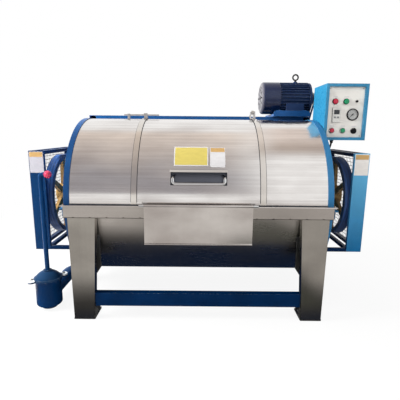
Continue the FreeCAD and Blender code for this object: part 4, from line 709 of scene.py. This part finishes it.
class WASHER_OT_guard_mesh(bpy.types.Operator):
    """Weave the wire mesh of both guards and set it in its bars"""
    bl_idname = "washer.guard_mesh"
    bl_label = "Guard mesh"

    def execute(self, context):
        finish = context.scene.washer_finish
        enamel = gloss_enamel("navy_enamel_bars", finish.navy, linear("#031d40"))
        wire = machined_steel("drawn_steel_wire", finish.wire, rough=0.45)
        low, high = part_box("guard_meshes")
        bars = []
        wires = []
        for side in SIDES:
            bars += self.bars(side, low, high)
            wires += self.net(side, low, high, context.scene.washer_fitting)
        edge = add_piece("guard_mesh_bars", bars, enamel, "frame")
        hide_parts("guard_meshes")
        add_piece("guard_mesh_wires", wires, wire, "frame", smooth=60)
        return {"FINISHED"}

    def bars(self, side, low, high):
        """Three square bars along the top, foot and rear edge of a mesh."""
        bar, sheet, chamfer = 0.025, 0.003, 0.002
        x0, x1 = sorted((side * (high.x - sheet - bar), side * (high.x - sheet)))
        return [
            block((x0, low.y, high.z - bar), (x1, high.y, high.z), chamfer),
            block((x0, low.y, low.z), (x1, high.y, low.z + bar), chamfer),
            block((x0, high.y - bar, low.z + bar), (x1, high.y, high.z - bar), chamfer),
        ]

    def net(self, side, low, high, fitting):
        """Two sets of round wires on a flat net; each wire waves in and out by a share of its radius
        at every crossing."""
        radius, pitch = fitting.wire_radius, fitting.wire_pitch
        depth, swing, squeeze = 1.1, 0.45, 0.55
        middle = side * (high.x - depth * radius)
        ring = np.linspace(0, 2 * math.pi, 6, endpoint=False)
        shapes = []
        for runs_up in (True, False):
            start, end = (low.z, high.z) if runs_up else (low.y, high.y)
            side_start, side_end = (low.y, high.y) if runs_up else (low.z, high.z)
            count = int((side_end - side_start) / pitch)
            crossings = int((end - start) / pitch)
            place = np.linspace(side_start, side_end, count + 1)[1:-1, None, None]
            along = np.linspace(start, end, 2 * crossings + 1)[None, :, None]
            phase = np.arange(2 * crossings + 1)[None, :, None] * math.pi / 2
            turn = np.arange(count - 1)[:, None, None] * math.pi + (0 if runs_up else math.pi)
            wave = middle - side * radius * swing * np.sin(phase + turn)
            x = wave + squeeze * radius * np.cos(ring)
            across = place + radius * np.sin(ring) + 0 * along
            run = along + 0 * across
            points = np.stack([x, across, run] if runs_up else [x, run, across], axis=-1)
            shapes.append(surface(points, around=True))
        return shapes


class WASHER_OT_blank_plates(bpy.types.Operator):
    """Fix the blank plates to the door and the guards"""
    bl_idname = "washer.blank_plates"
    bl_label = "Blank plates"
    ink = 0.0003

    def execute(self, context):
        finish = context.scene.washer_finish
        thick = context.scene.washer_fitting.plate
        white = printed_vinyl("printed_vinyl_white", finish.white)
        yellow = printed_vinyl("printed_vinyl_yellow", finish.yellow)
        ochre = printed_vinyl("printed_vinyl_ochre", finish.ochre)
        wide_x, wide_arc = (-0.161, 0.059), (27.8, 42.0)
        narrow_x, narrow_arc = (0.072, 0.169), (27.0, 41.5)
        border, header_share = 0.006, 0.24
        seat = SHELL_RADIUS + STAND_OFF
        film = seat + thick
        turn = math.degrees(border / SHELL_RADIUS)
        backs = [round_drum(flat(x_range, seat, film), arc)
                 for x_range, arc in ((wide_x, wide_arc), (narrow_x, narrow_arc))]
        field_x = (wide_x[0] + border, wide_x[1] - border)
        field = round_drum(flat(field_x, film, film + self.ink), (wide_arc[0] + turn, wide_arc[1] - turn))
        header_x = (narrow_x[0] + border / 2, narrow_x[1] - border / 2)
        header_low = narrow_arc[1] - header_share * (narrow_arc[1] - narrow_arc[0])
        header = round_drum(flat(header_x, film, film + self.ink), (header_low, narrow_arc[1] - turn / 2))
        add_piece("door_plate_backs", backs, white, "door")
        add_piece("door_plate_field", [field], yellow, "door")
        add_piece("door_plate_header", [header], ochre, "door")
        self.guard_plates(ochre, thick)
        return {"FINISHED"}

    def guard_plates(self, ochre, thick):
        """Flat upright plates on the fronts of both guard panels, each with a coloured header."""
        inset, drop, height = 0.004, 0.006, 0.145
        border, header = 0.003, 0.036
        headers = []
        # Painted shade: the left plate is a greyer copy of the right plate's white, for the shade on the left
        # guard
        for side, code in (("left", "#b3b1b8"), ("right", "#e4dfda")):
            low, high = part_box(side + "_guard_panel")
            top = high.z - drop
            left, right = low.x + inset, high.x - inset
            face = low.y - STAND_OFF
            front = face - thick
            vinyl = printed_vinyl("printed_vinyl_" + side, linear(code))
            back = block((left, front, top - height), (right, face, top))
            add_piece(side + "_guard_plate", [back], vinyl, "frame")
            headers.append(block((left + border, front - self.ink, top - header),
                                 (right - border, front, top - border)))
        add_piece("guard_plate_headers", headers, ochre, "frame")


class WASHER_OT_drum_wall(bpy.types.Operator):
    """Punch the drum wall and add the rails that hold the inner door"""
    bl_idname = "washer.drum_wall"
    bl_label = "Drum wall"

    def execute(self, context):
        fitting = context.scene.washer_fitting
        finish = context.scene.washer_finish
        steel = brushed_stainless(
            "brushed_stainless_drum", "X", finish.steel, finish.steel_shade, directional=False)
        wall = add_piece("punched_drum_wall", [self.punched(fitting)], steel, "drum", smooth=50)
        thickness = wall.modifiers.new("sheet", "SOLIDIFY")
        thickness.thickness = 0.003
        thickness.offset = -1
        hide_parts("drum_wall")
        add_piece("inner_door_rails", [self.rail(side) for side in SIDES], steel, "drum")
        return {"FINISHED"}

    def punched(self, fitting):
        """Cylinder cut into square cells by length and angle; each cell is a ring of eight faces
        round a hole. The cells in the loading window are left out."""
        radius, half, window_half, window_arc, facing = 0.500, 0.780, 0.350, 0.210, 40
        half_turn = math.asin(window_arc / radius)
        pitch = fitting.hole_pitch
        gap_cells = round(2 * window_half / pitch)
        side_cells = round((half - window_half) / pitch)
        edges_x = np.concatenate([
            np.linspace(-half, -window_half, side_cells + 1),
            np.linspace(-window_half, window_half, gap_cells + 1)[1:],
            np.linspace(window_half, half, side_cells + 1)[1:]])
        arc_cells = round(2 * half_turn * radius / pitch)
        rest_cells = round((2 * math.pi - 2 * half_turn) * radius / pitch)
        edges_a = np.concatenate([
            np.linspace(-half_turn, half_turn, arc_cells + 1),
            np.linspace(half_turn, 2 * math.pi - half_turn, rest_cells + 1)[1:]])
        column, row = np.meshgrid(np.arange(len(edges_x) - 1), np.arange(len(edges_a) - 1), indexing="ij")
        open_cell = (column >= side_cells) & (column < side_cells + gap_cells) & (row < arc_cells)
        column, row = column[~open_cell], row[~open_cell]
        x0, x1 = edges_x[column][:, None], edges_x[column + 1][:, None]
        a0, a1 = edges_a[row][:, None], edges_a[row + 1][:, None]
        corner_x = np.array([-1, 0, 1, 1, 1, 0, -1, -1]) * 0.5
        corner_a = np.array([-1, -1, -1, 0, 1, 1, 1, 0]) * 0.5
        ring = np.arctan2(corner_a, corner_x)
        middle_x, middle_a = (x0 + x1) / 2, (a0 + a1) / 2
        outer = [middle_x + corner_x * (x1 - x0), middle_a + corner_a * (a1 - a0)]
        hole = fitting.hole_radius
        inner = [middle_x + hole * np.cos(ring), middle_a + hole * np.sin(ring) / radius]
        x = np.stack([outer[0], inner[0]], axis=1)
        angle = np.stack([outer[1], inner[1]], axis=1) + math.radians(facing)
        points = np.stack([x, -radius * np.cos(angle), AXIS_HEIGHT + radius * np.sin(angle)], axis=-1)
        return surface(points, around=True)

    def rail(self, side):
        """Angle section carried round the drum beside the opening."""
        lip, web, outside = 0.356, 0.366, 0.378
        foot, hook, top = 0.4992, 0.50455, 0.50755
        section = [(web, foot), (outside, foot), (outside, top), (lip, top), (lip, hook), (web, hook)]
        return round_drum([(side * x, reach) for x, reach in section], (0, 360), 97)


class WASHER_OT_trim(bpy.types.Operator):
    """Add the hood over the handle, the roller yoke, dark strips of painted shadow in the gaps at the parting
    and beside the guides, the apron beads, and the weld seams that also paint the shadow line under the
    aprons
    """
    bl_idname = "washer.trim"
    bl_label = "Trim"

    def execute(self, context):
        finish = context.scene.washer_finish
        bright = brushed_stainless("folded_stainless_hood", "X", finish.steel, finish.steel_shade)
        # Painted shadow: a dark rubber look for the strips that stand in for the shadows in the gaps
        rubber = vulcanised_rubber("extruded_seal_rubber", linear("#10141c"), rough=0.5)
        oxide_and_shadow = machined_steel("heat_tinted_weld", linear("#3d3b3d"), rough=0.5)
        folded = machined_steel("folded_steel_yoke", finish.catch, rough=0.36)
        low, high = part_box("front_apron")
        add_piece("handle_hood", self.hood(), bright, "door")
        add_piece("roller_yoke", self.yoke(), folded, "frame")
        add_piece("parting_seal", [self.parting(high.z)], rubber, "frame")
        bead, bead_start, bead_inset = 0.004, 0.362, 0.003
        section = disc(low.y + bead, high.z, bead, 12)
        beads = [along_drum(section, (side * bead_start, side * (high.x - bead_inset))) for side in SIDES]
        add_piece("apron_beads", beads, bright, "frame")
        # Painted shadow: thin dark rods along both edges of each guide strip stand in for the shadow gaps
        # there
        lip_places, lip_radius, lip_arc = ((0.4296, 0.0014), (0.3914, 0.0028)), 0.0015, (4, 176)
        lips = [round_drum(disc(side * x, SHELL_RADIUS + lift, lip_radius), lip_arc, 90)
                for side in SIDES for x, lift in lip_places]
        add_piece("guide_lips", lips, rubber, "frame")
        # Painted shadow: the dark seams along the aprons' lower edges stand in for the shadow line there; the
        # small weld beads share their oxide colour
        seam_radius, rim = 0.0018, 0.014
        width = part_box("left_end_plate")[0].x + rim
        shadow_seams = [along_drum(disc(side * low.y, low.z, seam_radius), (width, -width)) for side in SIDES]
        add_piece("apron_seams", shadow_seams + self.welds(low), oxide_and_shadow, "frame")
        return {"FINISHED"}

    def hood(self):
        """Folded section carried along X over the handle recess, and a lip carried round the drum
        below it."""
        sheet, drop, half, depth, below_top = 0.0015, 0.014, 0.183, 0.020, 0.0095
        lip_arc = (13.4, 15.0)
        pan_low, pan_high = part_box("door_handle_pan")
        face, top, back = pan_low.y - sheet, pan_high.z - below_top, pan_low.y + depth
        fold = [(back, top), (face, top), (face, top - drop), (face + sheet, top - drop),
                (face + sheet, top - sheet), (back, top - sheet)]
        lip = flat((-half, half), SHELL_RADIUS + STAND_OFF, SHELL_RADIUS + sheet)
        return [along_drum(fold, (-half, half)), round_drum(lip, lip_arc)]

    def parting(self, foot):
        """Tapered dark strip carried along X where the covers meet the apron: painted shadow in the gap
        there.
        """
        inset, gap, height, foot_depth, top_depth = 0.002, 0.0035, 0.004, 0.011, 0.008
        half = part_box("trough")[1].x - inset
        edge, top = SHELL_RADIUS + gap, foot + height
        strip = [(-edge - foot_depth, foot), (-edge, foot), (-edge, top), (-edge - top_depth, top)]
        return along_drum(strip, (-half, half))

    def yoke(self):
        """Second cheek of the roller bracket, a tapered plate, the foot between the cheeks, and a ring
        on the foot's front as its eye."""
        guide_top = 0.0052
        seat = AXIS_HEIGHT + SHELL_RADIUS + guide_top
        outside, inside, far = 0.3865, 0.3905, 0.4185
        half, half_top, height, sheet = 0.026, 0.014, 0.055, 0.003
        bore, rim, depth, eye_x = 0.011, 0.020, 0.006, 0.394
        cheek = [(-half, seat), (half, seat), (half_top, seat + height), (-half_top, seat + height)]
        return [
            along_drum(cheek, (outside, inside)),
            block((inside, -half, seat), (far, half, seat + sheet)),
            placed(washer(bore, rim, depth, 24), (eye_x, -half, seat + rim), FORWARD),
        ]

    def welds(self, low):
        """Small flat beads along the lower edges of the aprons: a squeezed ball each."""
        length, depth, height, lift = 0.006, 0.0025, 0.0035, 0.002
        first, last, pitch = -0.78, 0.79, 0.104
        angle = np.linspace(0, math.pi, 5)[:, None]
        turn = np.linspace(0, 2 * math.pi, 10, endpoint=False)
        ball = np.stack([length * np.sin(angle) * np.cos(turn), depth * np.cos(angle) + 0 * turn,
                         height * np.sin(angle) * np.sin(turn)], axis=-1)
        points, faces = surface(ball, around=True)
        return [(points + np.array((x, side * low.y, low.z + lift)), faces)
                for x in np.arange(first, last, pitch) for side in SIDES]


class WASHER_OT_fasteners(bpy.types.Operator):
    """Set the bolts and the panel screws"""
    bl_idname = "washer.fasteners"
    bl_label = "Fasteners"

    def execute(self, context):
        fitting = context.scene.washer_fitting
        zinc = machined_steel("zinc_plated_steel", context.scene.washer_finish.zinc, rough=0.36)
        bolt = hex_bolt(fitting.bolt_radius, 0.9 * fitting.bolt_radius)
        bolts = [placed(bolt, centre) for centre in self.lid_places() + self.bearing_places()]
        bolts += [placed(bolt, centre, FORWARD) for centre in self.jackshaft_places()]
        bolts += [placed(bolt, centre) for centre in self.motor_places()]
        add_piece("bolts", bolts, zinc, "frame")
        low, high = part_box("control_panel")
        inset = 0.011
        screws = [placed(pan_screw(fitting.screw_radius), (x, low.y, z), FORWARD)
                  for x in (low.x + inset, high.x - inset) for z in (low.z + inset, high.z - inset)]
        add_piece("panel_screws", screws, zinc, "frame")
        return {"FINISHED"}

    def lid_places(self):
        """On the two ears of the drain lid."""
        low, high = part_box("drain_valve_lid")
        centre = (low + high) / 2
        ear_x, ear_y, brim = 0.084, 0.064, low.z + 0.010
        return [(centre.x + side * ear_x, centre.y + side * ear_y, brim) for side in SIDES]

    def bearing_places(self):
        """On the feet of the drum bearings."""
        low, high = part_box("drum_bearings")
        inset, spread, foot = 0.032, 0.110, 0.026
        return [(side * (high.x - inset), y, low.z + foot) for side in SIDES for y in (-spread, spread)]

    def jackshaft_places(self):
        """On the flanges of the jackshaft bearings."""
        low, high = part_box("jackshaft_bearings")
        middle = (low.z + high.z) / 2
        inset, flange, spread = 0.025, 0.018, 0.067
        return [(side * (high.x - inset), high.y - flange, middle + rise)
                for side in SIDES for rise in (-spread, spread)]

    def motor_places(self):
        """On the feet of the motor."""
        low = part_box("motor_frame")[0]
        shaft = joint_place("motor_spin")
        lug, foot, spread = 0.014, 0.016, 0.108
        return [(low.x + lug + along, shaft[1] + across, low.z + foot)
                for along in (0.028, 0.212) for across in (-spread, spread)]


class WASHER_OT_instruments(bpy.types.Operator):
    """Add the gauge face, its glass, the timer window and keys, and blank tags"""
    bl_idname = "washer.instruments"
    bl_label = "Instruments"

    def execute(self, context):
        finish = context.scene.washer_finish
        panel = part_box("control_panel")
        face = panel[0].y
        self.gauge(face)
        self.timer(panel)
        tag = printed_vinyl("printed_tag_white", finish.white)
        half, foot, top, thick = 0.015, 0.027, 0.034, 0.0006
        bore, crest, rim, edge, seat = 0.0150, 0.0174, 0.0198, 0.0012, 0.006
        ring = lathe([(bore, 0), (rim, 0), (rim, edge), (crest, 2 * edge), (bore, edge), (bore, 0)], 32)
        plates = []
        rings = []
        for name in ("upper_red_button", "upper_green_button", "lower_red_button", "lower_green_button",
                     "selector_knob"):
            low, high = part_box(name)
            x, z = (low.x + high.x) / 2, (low.z + high.z) / 2
            plates.append(block((x - half, face - thick, z + foot), (x + half, face, z + top)))
            if name.startswith("lower"):
                rings.append(placed(ring, (x, face - seat, z), FORWARD))
        add_piece("panel_tags", plates, tag, "frame")
        add_piece("button_rings", rings, polished_chrome("chromed_bezel_rings"), "frame")
        return {"FINISHED"}

    def gauge(self, face):
        """Printed dial, its marks and a slightly domed glass in the rim of the gauge."""
        x, _, z = joint_place("gauge_pointer_turn")
        floor, glass_back = face - 0.0031, face - 0.0082
        hole, card_rim, card_thick = 0.0045, 0.0335, 0.0004
        glass_rim, shoulder = 0.0338, 0.030
        card = printed_vinyl("printed_dial_card", linear("#dcdddb"))
        ink = moulded_plastic("printed_dial_ink", linear("#1c1d20"))
        clear = clear_glass("gauge_glass")
        dial = washer(hole, card_rim, card_thick, 48)
        glass = lathe([(0, 0), (glass_rim, 0), (glass_rim, 0.0012), (shoulder, 0.0016), (0, 0.0019)], 48)
        add_piece("gauge_dial", [placed(dial, (x, floor, z), FORWARD)], card, "frame")
        add_piece("gauge_ticks", self.ticks(x, floor - card_thick, z), ink, "frame")
        add_piece("gauge_glass", [placed(glass, (x, glass_back, z), FORWARD)], clear, "frame")

    def timer(self, panel):
        """Pale face plate with a dark window and two keys on the timer."""
        low, high = panel
        from_left, from_top = 66 / 259, 188 / 338
        x = low.x + from_left * (high.x - low.x)
        z = high.z - from_top * (high.z - low.z)
        front, proud = low.y - 0.008, 0.0012
        half, half_height = 0.0278, 0.0478
        window_half, window_foot, window_top = 0.0195, 0.0045, 0.0355
        outer = (x - half, z - half_height, x + half, z + half_height)
        inner = (x - window_half, z + window_foot, x + window_half, z + window_top)
        pale = moulded_plastic("moulded_pale_face", linear("#c9c8c4"))
        bezel = window_frame(outer, inner, front, front - proud)
        add_piece("timer_face", [bezel], pale, "frame")
        sunk, pane_back = 0.0010, 0.0019
        window = block((inner[0], front + sunk, inner[1]), (inner[2], front + pane_back, inner[3]))
        screen = moulded_plastic("smoked_display_window", linear("#23262c"), rough=0.12)
        add_piece("timer_window", [window], screen, "frame")
        apart, key, key_proud, key_foot, key_top = 0.011, 0.0055, 0.0028, 0.020, 0.010
        keys = [block((x + side * apart - key, front - key_proud, z - key_foot),
                      (x + side * apart + key, front - proud, z - key_top)) for side in SIDES]
        grey = moulded_plastic("moulded_grey_keys", linear("#5f6368"))
        add_piece("timer_keys", keys, grey, "frame")

    def ticks(self, x, y, z):
        """Short bars on the dial at equal steps over three quarters of a turn, longer at every fifth."""
        count, start, step_angle, tip, ink = 31, 225, 9, 0.031, 0.0002
        bars = []
        for step in range(count):
            angle = math.radians(start - step_angle * step)
            outward = np.array((math.cos(angle), 0, math.sin(angle)))
            across = np.array((-math.sin(angle), 0, math.cos(angle)))
            inner, half = (0.0235, 0.0007) if step % 5 == 0 else (0.0270, 0.0004)
            corners = np.array([outward * reach + across * shift for reach, shift in
                                ((inner, -half), (tip, -half), (tip, half), (inner, half))])
            bars.append(sweep(np.stack([corners + np.array((x, y - lift, z)) for lift in (0, ink)])))
        return bars


class WASHER_OT_stage(bpy.types.Operator):
    """Set up the floor, surround, lamps, reflection cards and camera"""
    bl_idname = "washer.stage"
    bl_label = "Stage"

    def execute(self, context):
        stage = context.scene.washer_stage
        context.scene.view_settings.view_transform = "Standard"
        self.surround(context.scene, stage)
        self.floor(context.scene)
        self.cards(context.scene)
        self.lamp("key_lamp", (-3.3, -1.0, 2.7), 2.0, stage.key)
        self.lamp("fill_lamp", (1.6, -3.4, 2.8), 2.2, stage.fill)
        self.lamp("back_lamp", (0.4, 3.0, 3.4), 2.4, stage.back)
        self.lamp("side_lamp", (-1.6, 0.35, 1.75), 0.5, stage.side)
        self.camera(context.scene, stage)
        return {"FINISHED"}

    def surround(self, scene, stage):
        """White seen directly and in metal or glass, softer as light on the object."""
        world = bpy.data.worlds.new("studio_surround")
        scene.world = world
        world.use_nodes = True
        tree = world.node_tree
        tree.nodes.clear()
        path = add_node(tree, "LightPath", out=None)
        seen = path["Is Camera Ray"]
        for ray in ("Is Glossy Ray", "Is Transmission Ray"):
            seen = add_node(tree, "Math", {0: seen, 1: path[ray]}, operation="MAXIMUM")
        white = (1, 1, 1, 1)
        light = add_node(tree, "Background", {"Color": white, "Strength": stage.ambient})
        paper = add_node(tree, "Background", {"Color": white, "Strength": 1.0})
        mixed = add_node(tree, "MixShader", {0: seen, 1: light, 2: paper})
        add_node(tree, "OutputWorld", {"Surface": mixed}, None)

    def floor(self, scene):
        """Pale matt floor that keeps the shadow round the machine and goes over to white further off."""
        material, tree, matt = start_material(
            "pale_matt_floor", base_color=(*linear("#f2f1ef"), 1), roughness=0.9)
        away = reach_from(tree, (0, 0, 0), (1, 1, 1))
        path = add_node(tree, "LightPath", out=None)
        share = add_node(tree, "MapRange", {
            "Value": away, "From Min": 1.4, "From Max": 3.6, "To Min": 0.9, "To Max": 1.0})
        seen = add_node(tree, "Math", {0: path["Is Camera Ray"], 1: share}, operation="MULTIPLY")
        glow = add_node(tree, "Emission", {"Color": (1, 1, 1, 1), "Strength": 1.0})
        mixed = add_node(tree, "MixShader", {0: seen, 1: matt.outputs[0], 2: glow})
        tree.links.new(mixed, tree.nodes["Material Output"].inputs["Surface"])
        reach = np.linspace(-14, 14, 3)
        x, y = np.meshgrid(reach, reach, indexing="ij")
        self.stage_sheet(scene, "studio_floor", np.stack([x, y, 0 * x], axis=-1), material)

    def stage_sheet(self, scene, name, points, material):
        """Sheet of the studio, one face per cell of a grid of points."""
        vertices, faces = surface(points)
        mesh = bpy.data.meshes.new(name)
        mesh.from_pydata(vertices.tolist(), [], faces)
        mesh.materials.append(material)
        sheet = bpy.data.objects.new(name, mesh)
        scene.collection.objects.link(sheet)
        return sheet

    def cards(self, scene):
        """Cards that only reflections see: arches over the camera, a grey cloth in front, dark ones below.
        Each has its two tones, the axis and places between which they shift, and its fades."""
        for name, points, tones, shift, fades in (
            ("left_arch", self.arch((6, 118), (-3.6, 1.4)),
             ("#a5a2a6", "#f6e9de"), ("Y", -3.3, 0.6),
             (("Z", 1.15, 1.38), ("Y", 1.1, 0.5), ("X", 1.25, 0.20))),
            ("right_arch", self.arch((62, 128), (0.4, 3.6)),
             ("#c3b5ab", "#eee1d9"), ("Y", -0.75, 0.3),
             (("Y", 1.6, 1.3), ("Y", -1.9, -1.0), ("X", 0.60, 1.25))),
            ("grey_cloth", self.cloth((-9, 9), (-13, -0.4), 0.0015),
             ("#dbd7d3", "#c4bfbb"), ("X", -1.7, 1.7),
             (("Y", -0.4, -0.5),)),
            ("dark_cloth", self.cloth((-1.5, 1.5), (-1.7, 1.6), 0.003),
             ("#474646", "#132038"), ("Y", -0.82, -0.50),
             (("Y", -1.50, -0.80), ("X", 1.5, 1.1), ("X", -1.5, -1.1))),
            ("shaded_cloth", self.cloth((0.15, 1.0), (-3.0, -0.7), 0.0045),
             ("#62635c", "#575852"), ("X", 0.2, 0.9),
             (("X", 0.15, 0.48), ("X", 0.98, 0.82), ("Y", -2.9, -2.0), ("Y", -0.70, -0.95))),
        ):
            glow = self.card_material(name + "_glow", tones, shift, fades)
            card = self.stage_sheet(scene, name, points, glow)
            for ray in ("camera", "diffuse", "transmission", "volume_scatter", "shadow"):
                setattr(card, "visible_" + ray, False)

    def arch(self, elevations, x_range):
        """Part of a cylinder round the machine, over degrees of elevation in front."""
        angle = np.radians(np.linspace(*elevations, 24))[:, None]
        x = np.linspace(*x_range, 5)
        radius, centre_y, centre_z = 3.2, -0.4, 0.95
        return np.stack([x + 0 * angle, centre_y - radius * np.cos(angle) + 0 * x,
                         centre_z + radius * np.sin(angle) + 0 * x], axis=-1)

    def cloth(self, x_range, y_range, height):
        """Flat sheet just above the floor."""
        x, y = np.meshgrid(np.linspace(*x_range, 5), np.linspace(*y_range, 9), indexing="ij")
        return np.stack([x, y, height + 0 * x], axis=-1)

    def card_material(self, name, tones, shift, fades):
        """Glow that shifts from one tone to the other between two places along an axis, in soft bands,
        and fades out between two places along an axis, for each fade."""
        material, tree, _ = start_material(name)
        where = add_node(tree, "TexCoord", out="Object")
        parts = add_node(tree, "SeparateXYZ", {0: where}, None)
        cover = None
        for axis, clear, full in fades:
            fade = add_node(tree, "MapRange", {"Value": parts[axis], "From Min": clear, "From Max": full},
                            interpolation_type="SMOOTHSTEP")
            if cover is not None:
                fade = add_node(tree, "Math", {0: cover, 1: fade}, operation="MULTIPLY")
            cover = fade
        axis, start, end = shift
        bands = add_node(tree, "MapRange", {
            "Value": grain(tree, (650, 3000, 1500), 1.0), "From Min": NOISE_SPREAD[0],
            "From Max": NOISE_SPREAD[1], "To Min": -0.12, "To Max": 0.12})
        along = add_node(tree, "MapRange", {"Value": parts[axis], "From Min": start, "From Max": end})
        share = add_node(tree, "Math", {0: along, 1: bands}, operation="ADD")
        colour = two_tone(tree, share, *(linear(tone) for tone in tones), 0, 1)
        glow = add_node(tree, "Emission", {"Color": colour, "Strength": 1.0})
        clear = add_node(tree, "BsdfTransparent")
        mixed = add_node(tree, "MixShader", {0: cover, 1: clear, 2: glow})
        tree.links.new(mixed, tree.nodes["Material Output"].inputs["Surface"])
        return material

    def lamp(self, name, place, size, power):
        """Round soft lamp turned to the machine's middle, not seen in reflections."""
        light = bpy.data.lights.new(name, "AREA")
        light.shape = "DISK"
        light.size = size
        light.energy = power
        lamp = bpy.data.objects.new(name, light)
        lamp.location = place
        middle = Vector((0, 0, 0.8))
        lamp.rotation_euler = (middle - Vector(place)).to_track_quat("-Z", "Y").to_euler()
        lamp.visible_glossy = False
        bpy.context.scene.collection.objects.link(lamp)

    def camera(self, scene, stage):
        """Camera in front of the drum axis, tilted down and leaning a little."""
        data = bpy.data.cameras.new("photo_camera")
        data.lens = stage.lens
        data.sensor_width = 36
        camera = bpy.data.objects.new("photo_camera", data)
        camera.location = (stage.camera_side, -stage.camera_reach, stage.camera_height)
        tilt = Matrix.Rotation(math.pi / 2 - stage.pitch, 3, "X") @ Matrix.Rotation(stage.roll, 3, "Z")
        camera.rotation_euler = tilt.to_euler()
        scene.collection.objects.link(camera)
        scene.camera = camera


# Panel and registration

class WASHER_PT_panel(bpy.types.Panel):
    """List of the steps that dress the machine"""
    bl_label = "Washer"
    bl_idname = "WASHER_PT_panel"
    bl_space_type = "VIEW_3D"
    bl_region_type = "UI"
    bl_category = "Washer"

    def draw(self, context):
        for operator in OPERATORS:
            self.layout.operator(operator.bl_idname)
        for group_name in GROUPS:
            group = getattr(context.scene, group_name)
            for name in group.__annotations__:
                self.layout.prop(group, name)


OPERATORS = (
    WASHER_OT_stage, WASHER_OT_control_cable, WASHER_OT_steelwork, WASHER_OT_paintwork,
    WASHER_OT_drive_finish, WASHER_OT_control_finish, WASHER_OT_guard_mesh, WASHER_OT_blank_plates,
    WASHER_OT_drum_wall, WASHER_OT_trim, WASHER_OT_fasteners, WASHER_OT_instruments,
)
GROUPS = {"washer_finish": WasherFinish, "washer_fitting": WasherFitting, "washer_stage": WasherStage}


def register():
    for kind in (*GROUPS.values(), *OPERATORS, WASHER_PT_panel):
        bpy.utils.register_class(kind)
    for name, group in GROUPS.items():
        setattr(bpy.types.Scene, name, bpy.props.PointerProperty(type=group))


def unregister():
    for name in GROUPS:
        delattr(bpy.types.Scene, name)
    for kind in (WASHER_PT_panel, *OPERATORS, *GROUPS.values()):
        bpy.utils.unregister_class(kind)


def main():
    register()
    for operator in OPERATORS:
        family, name = operator.bl_idname.split(".")
        getattr(getattr(bpy.ops, family), name)()


if __name__ == "__main__":
    main()
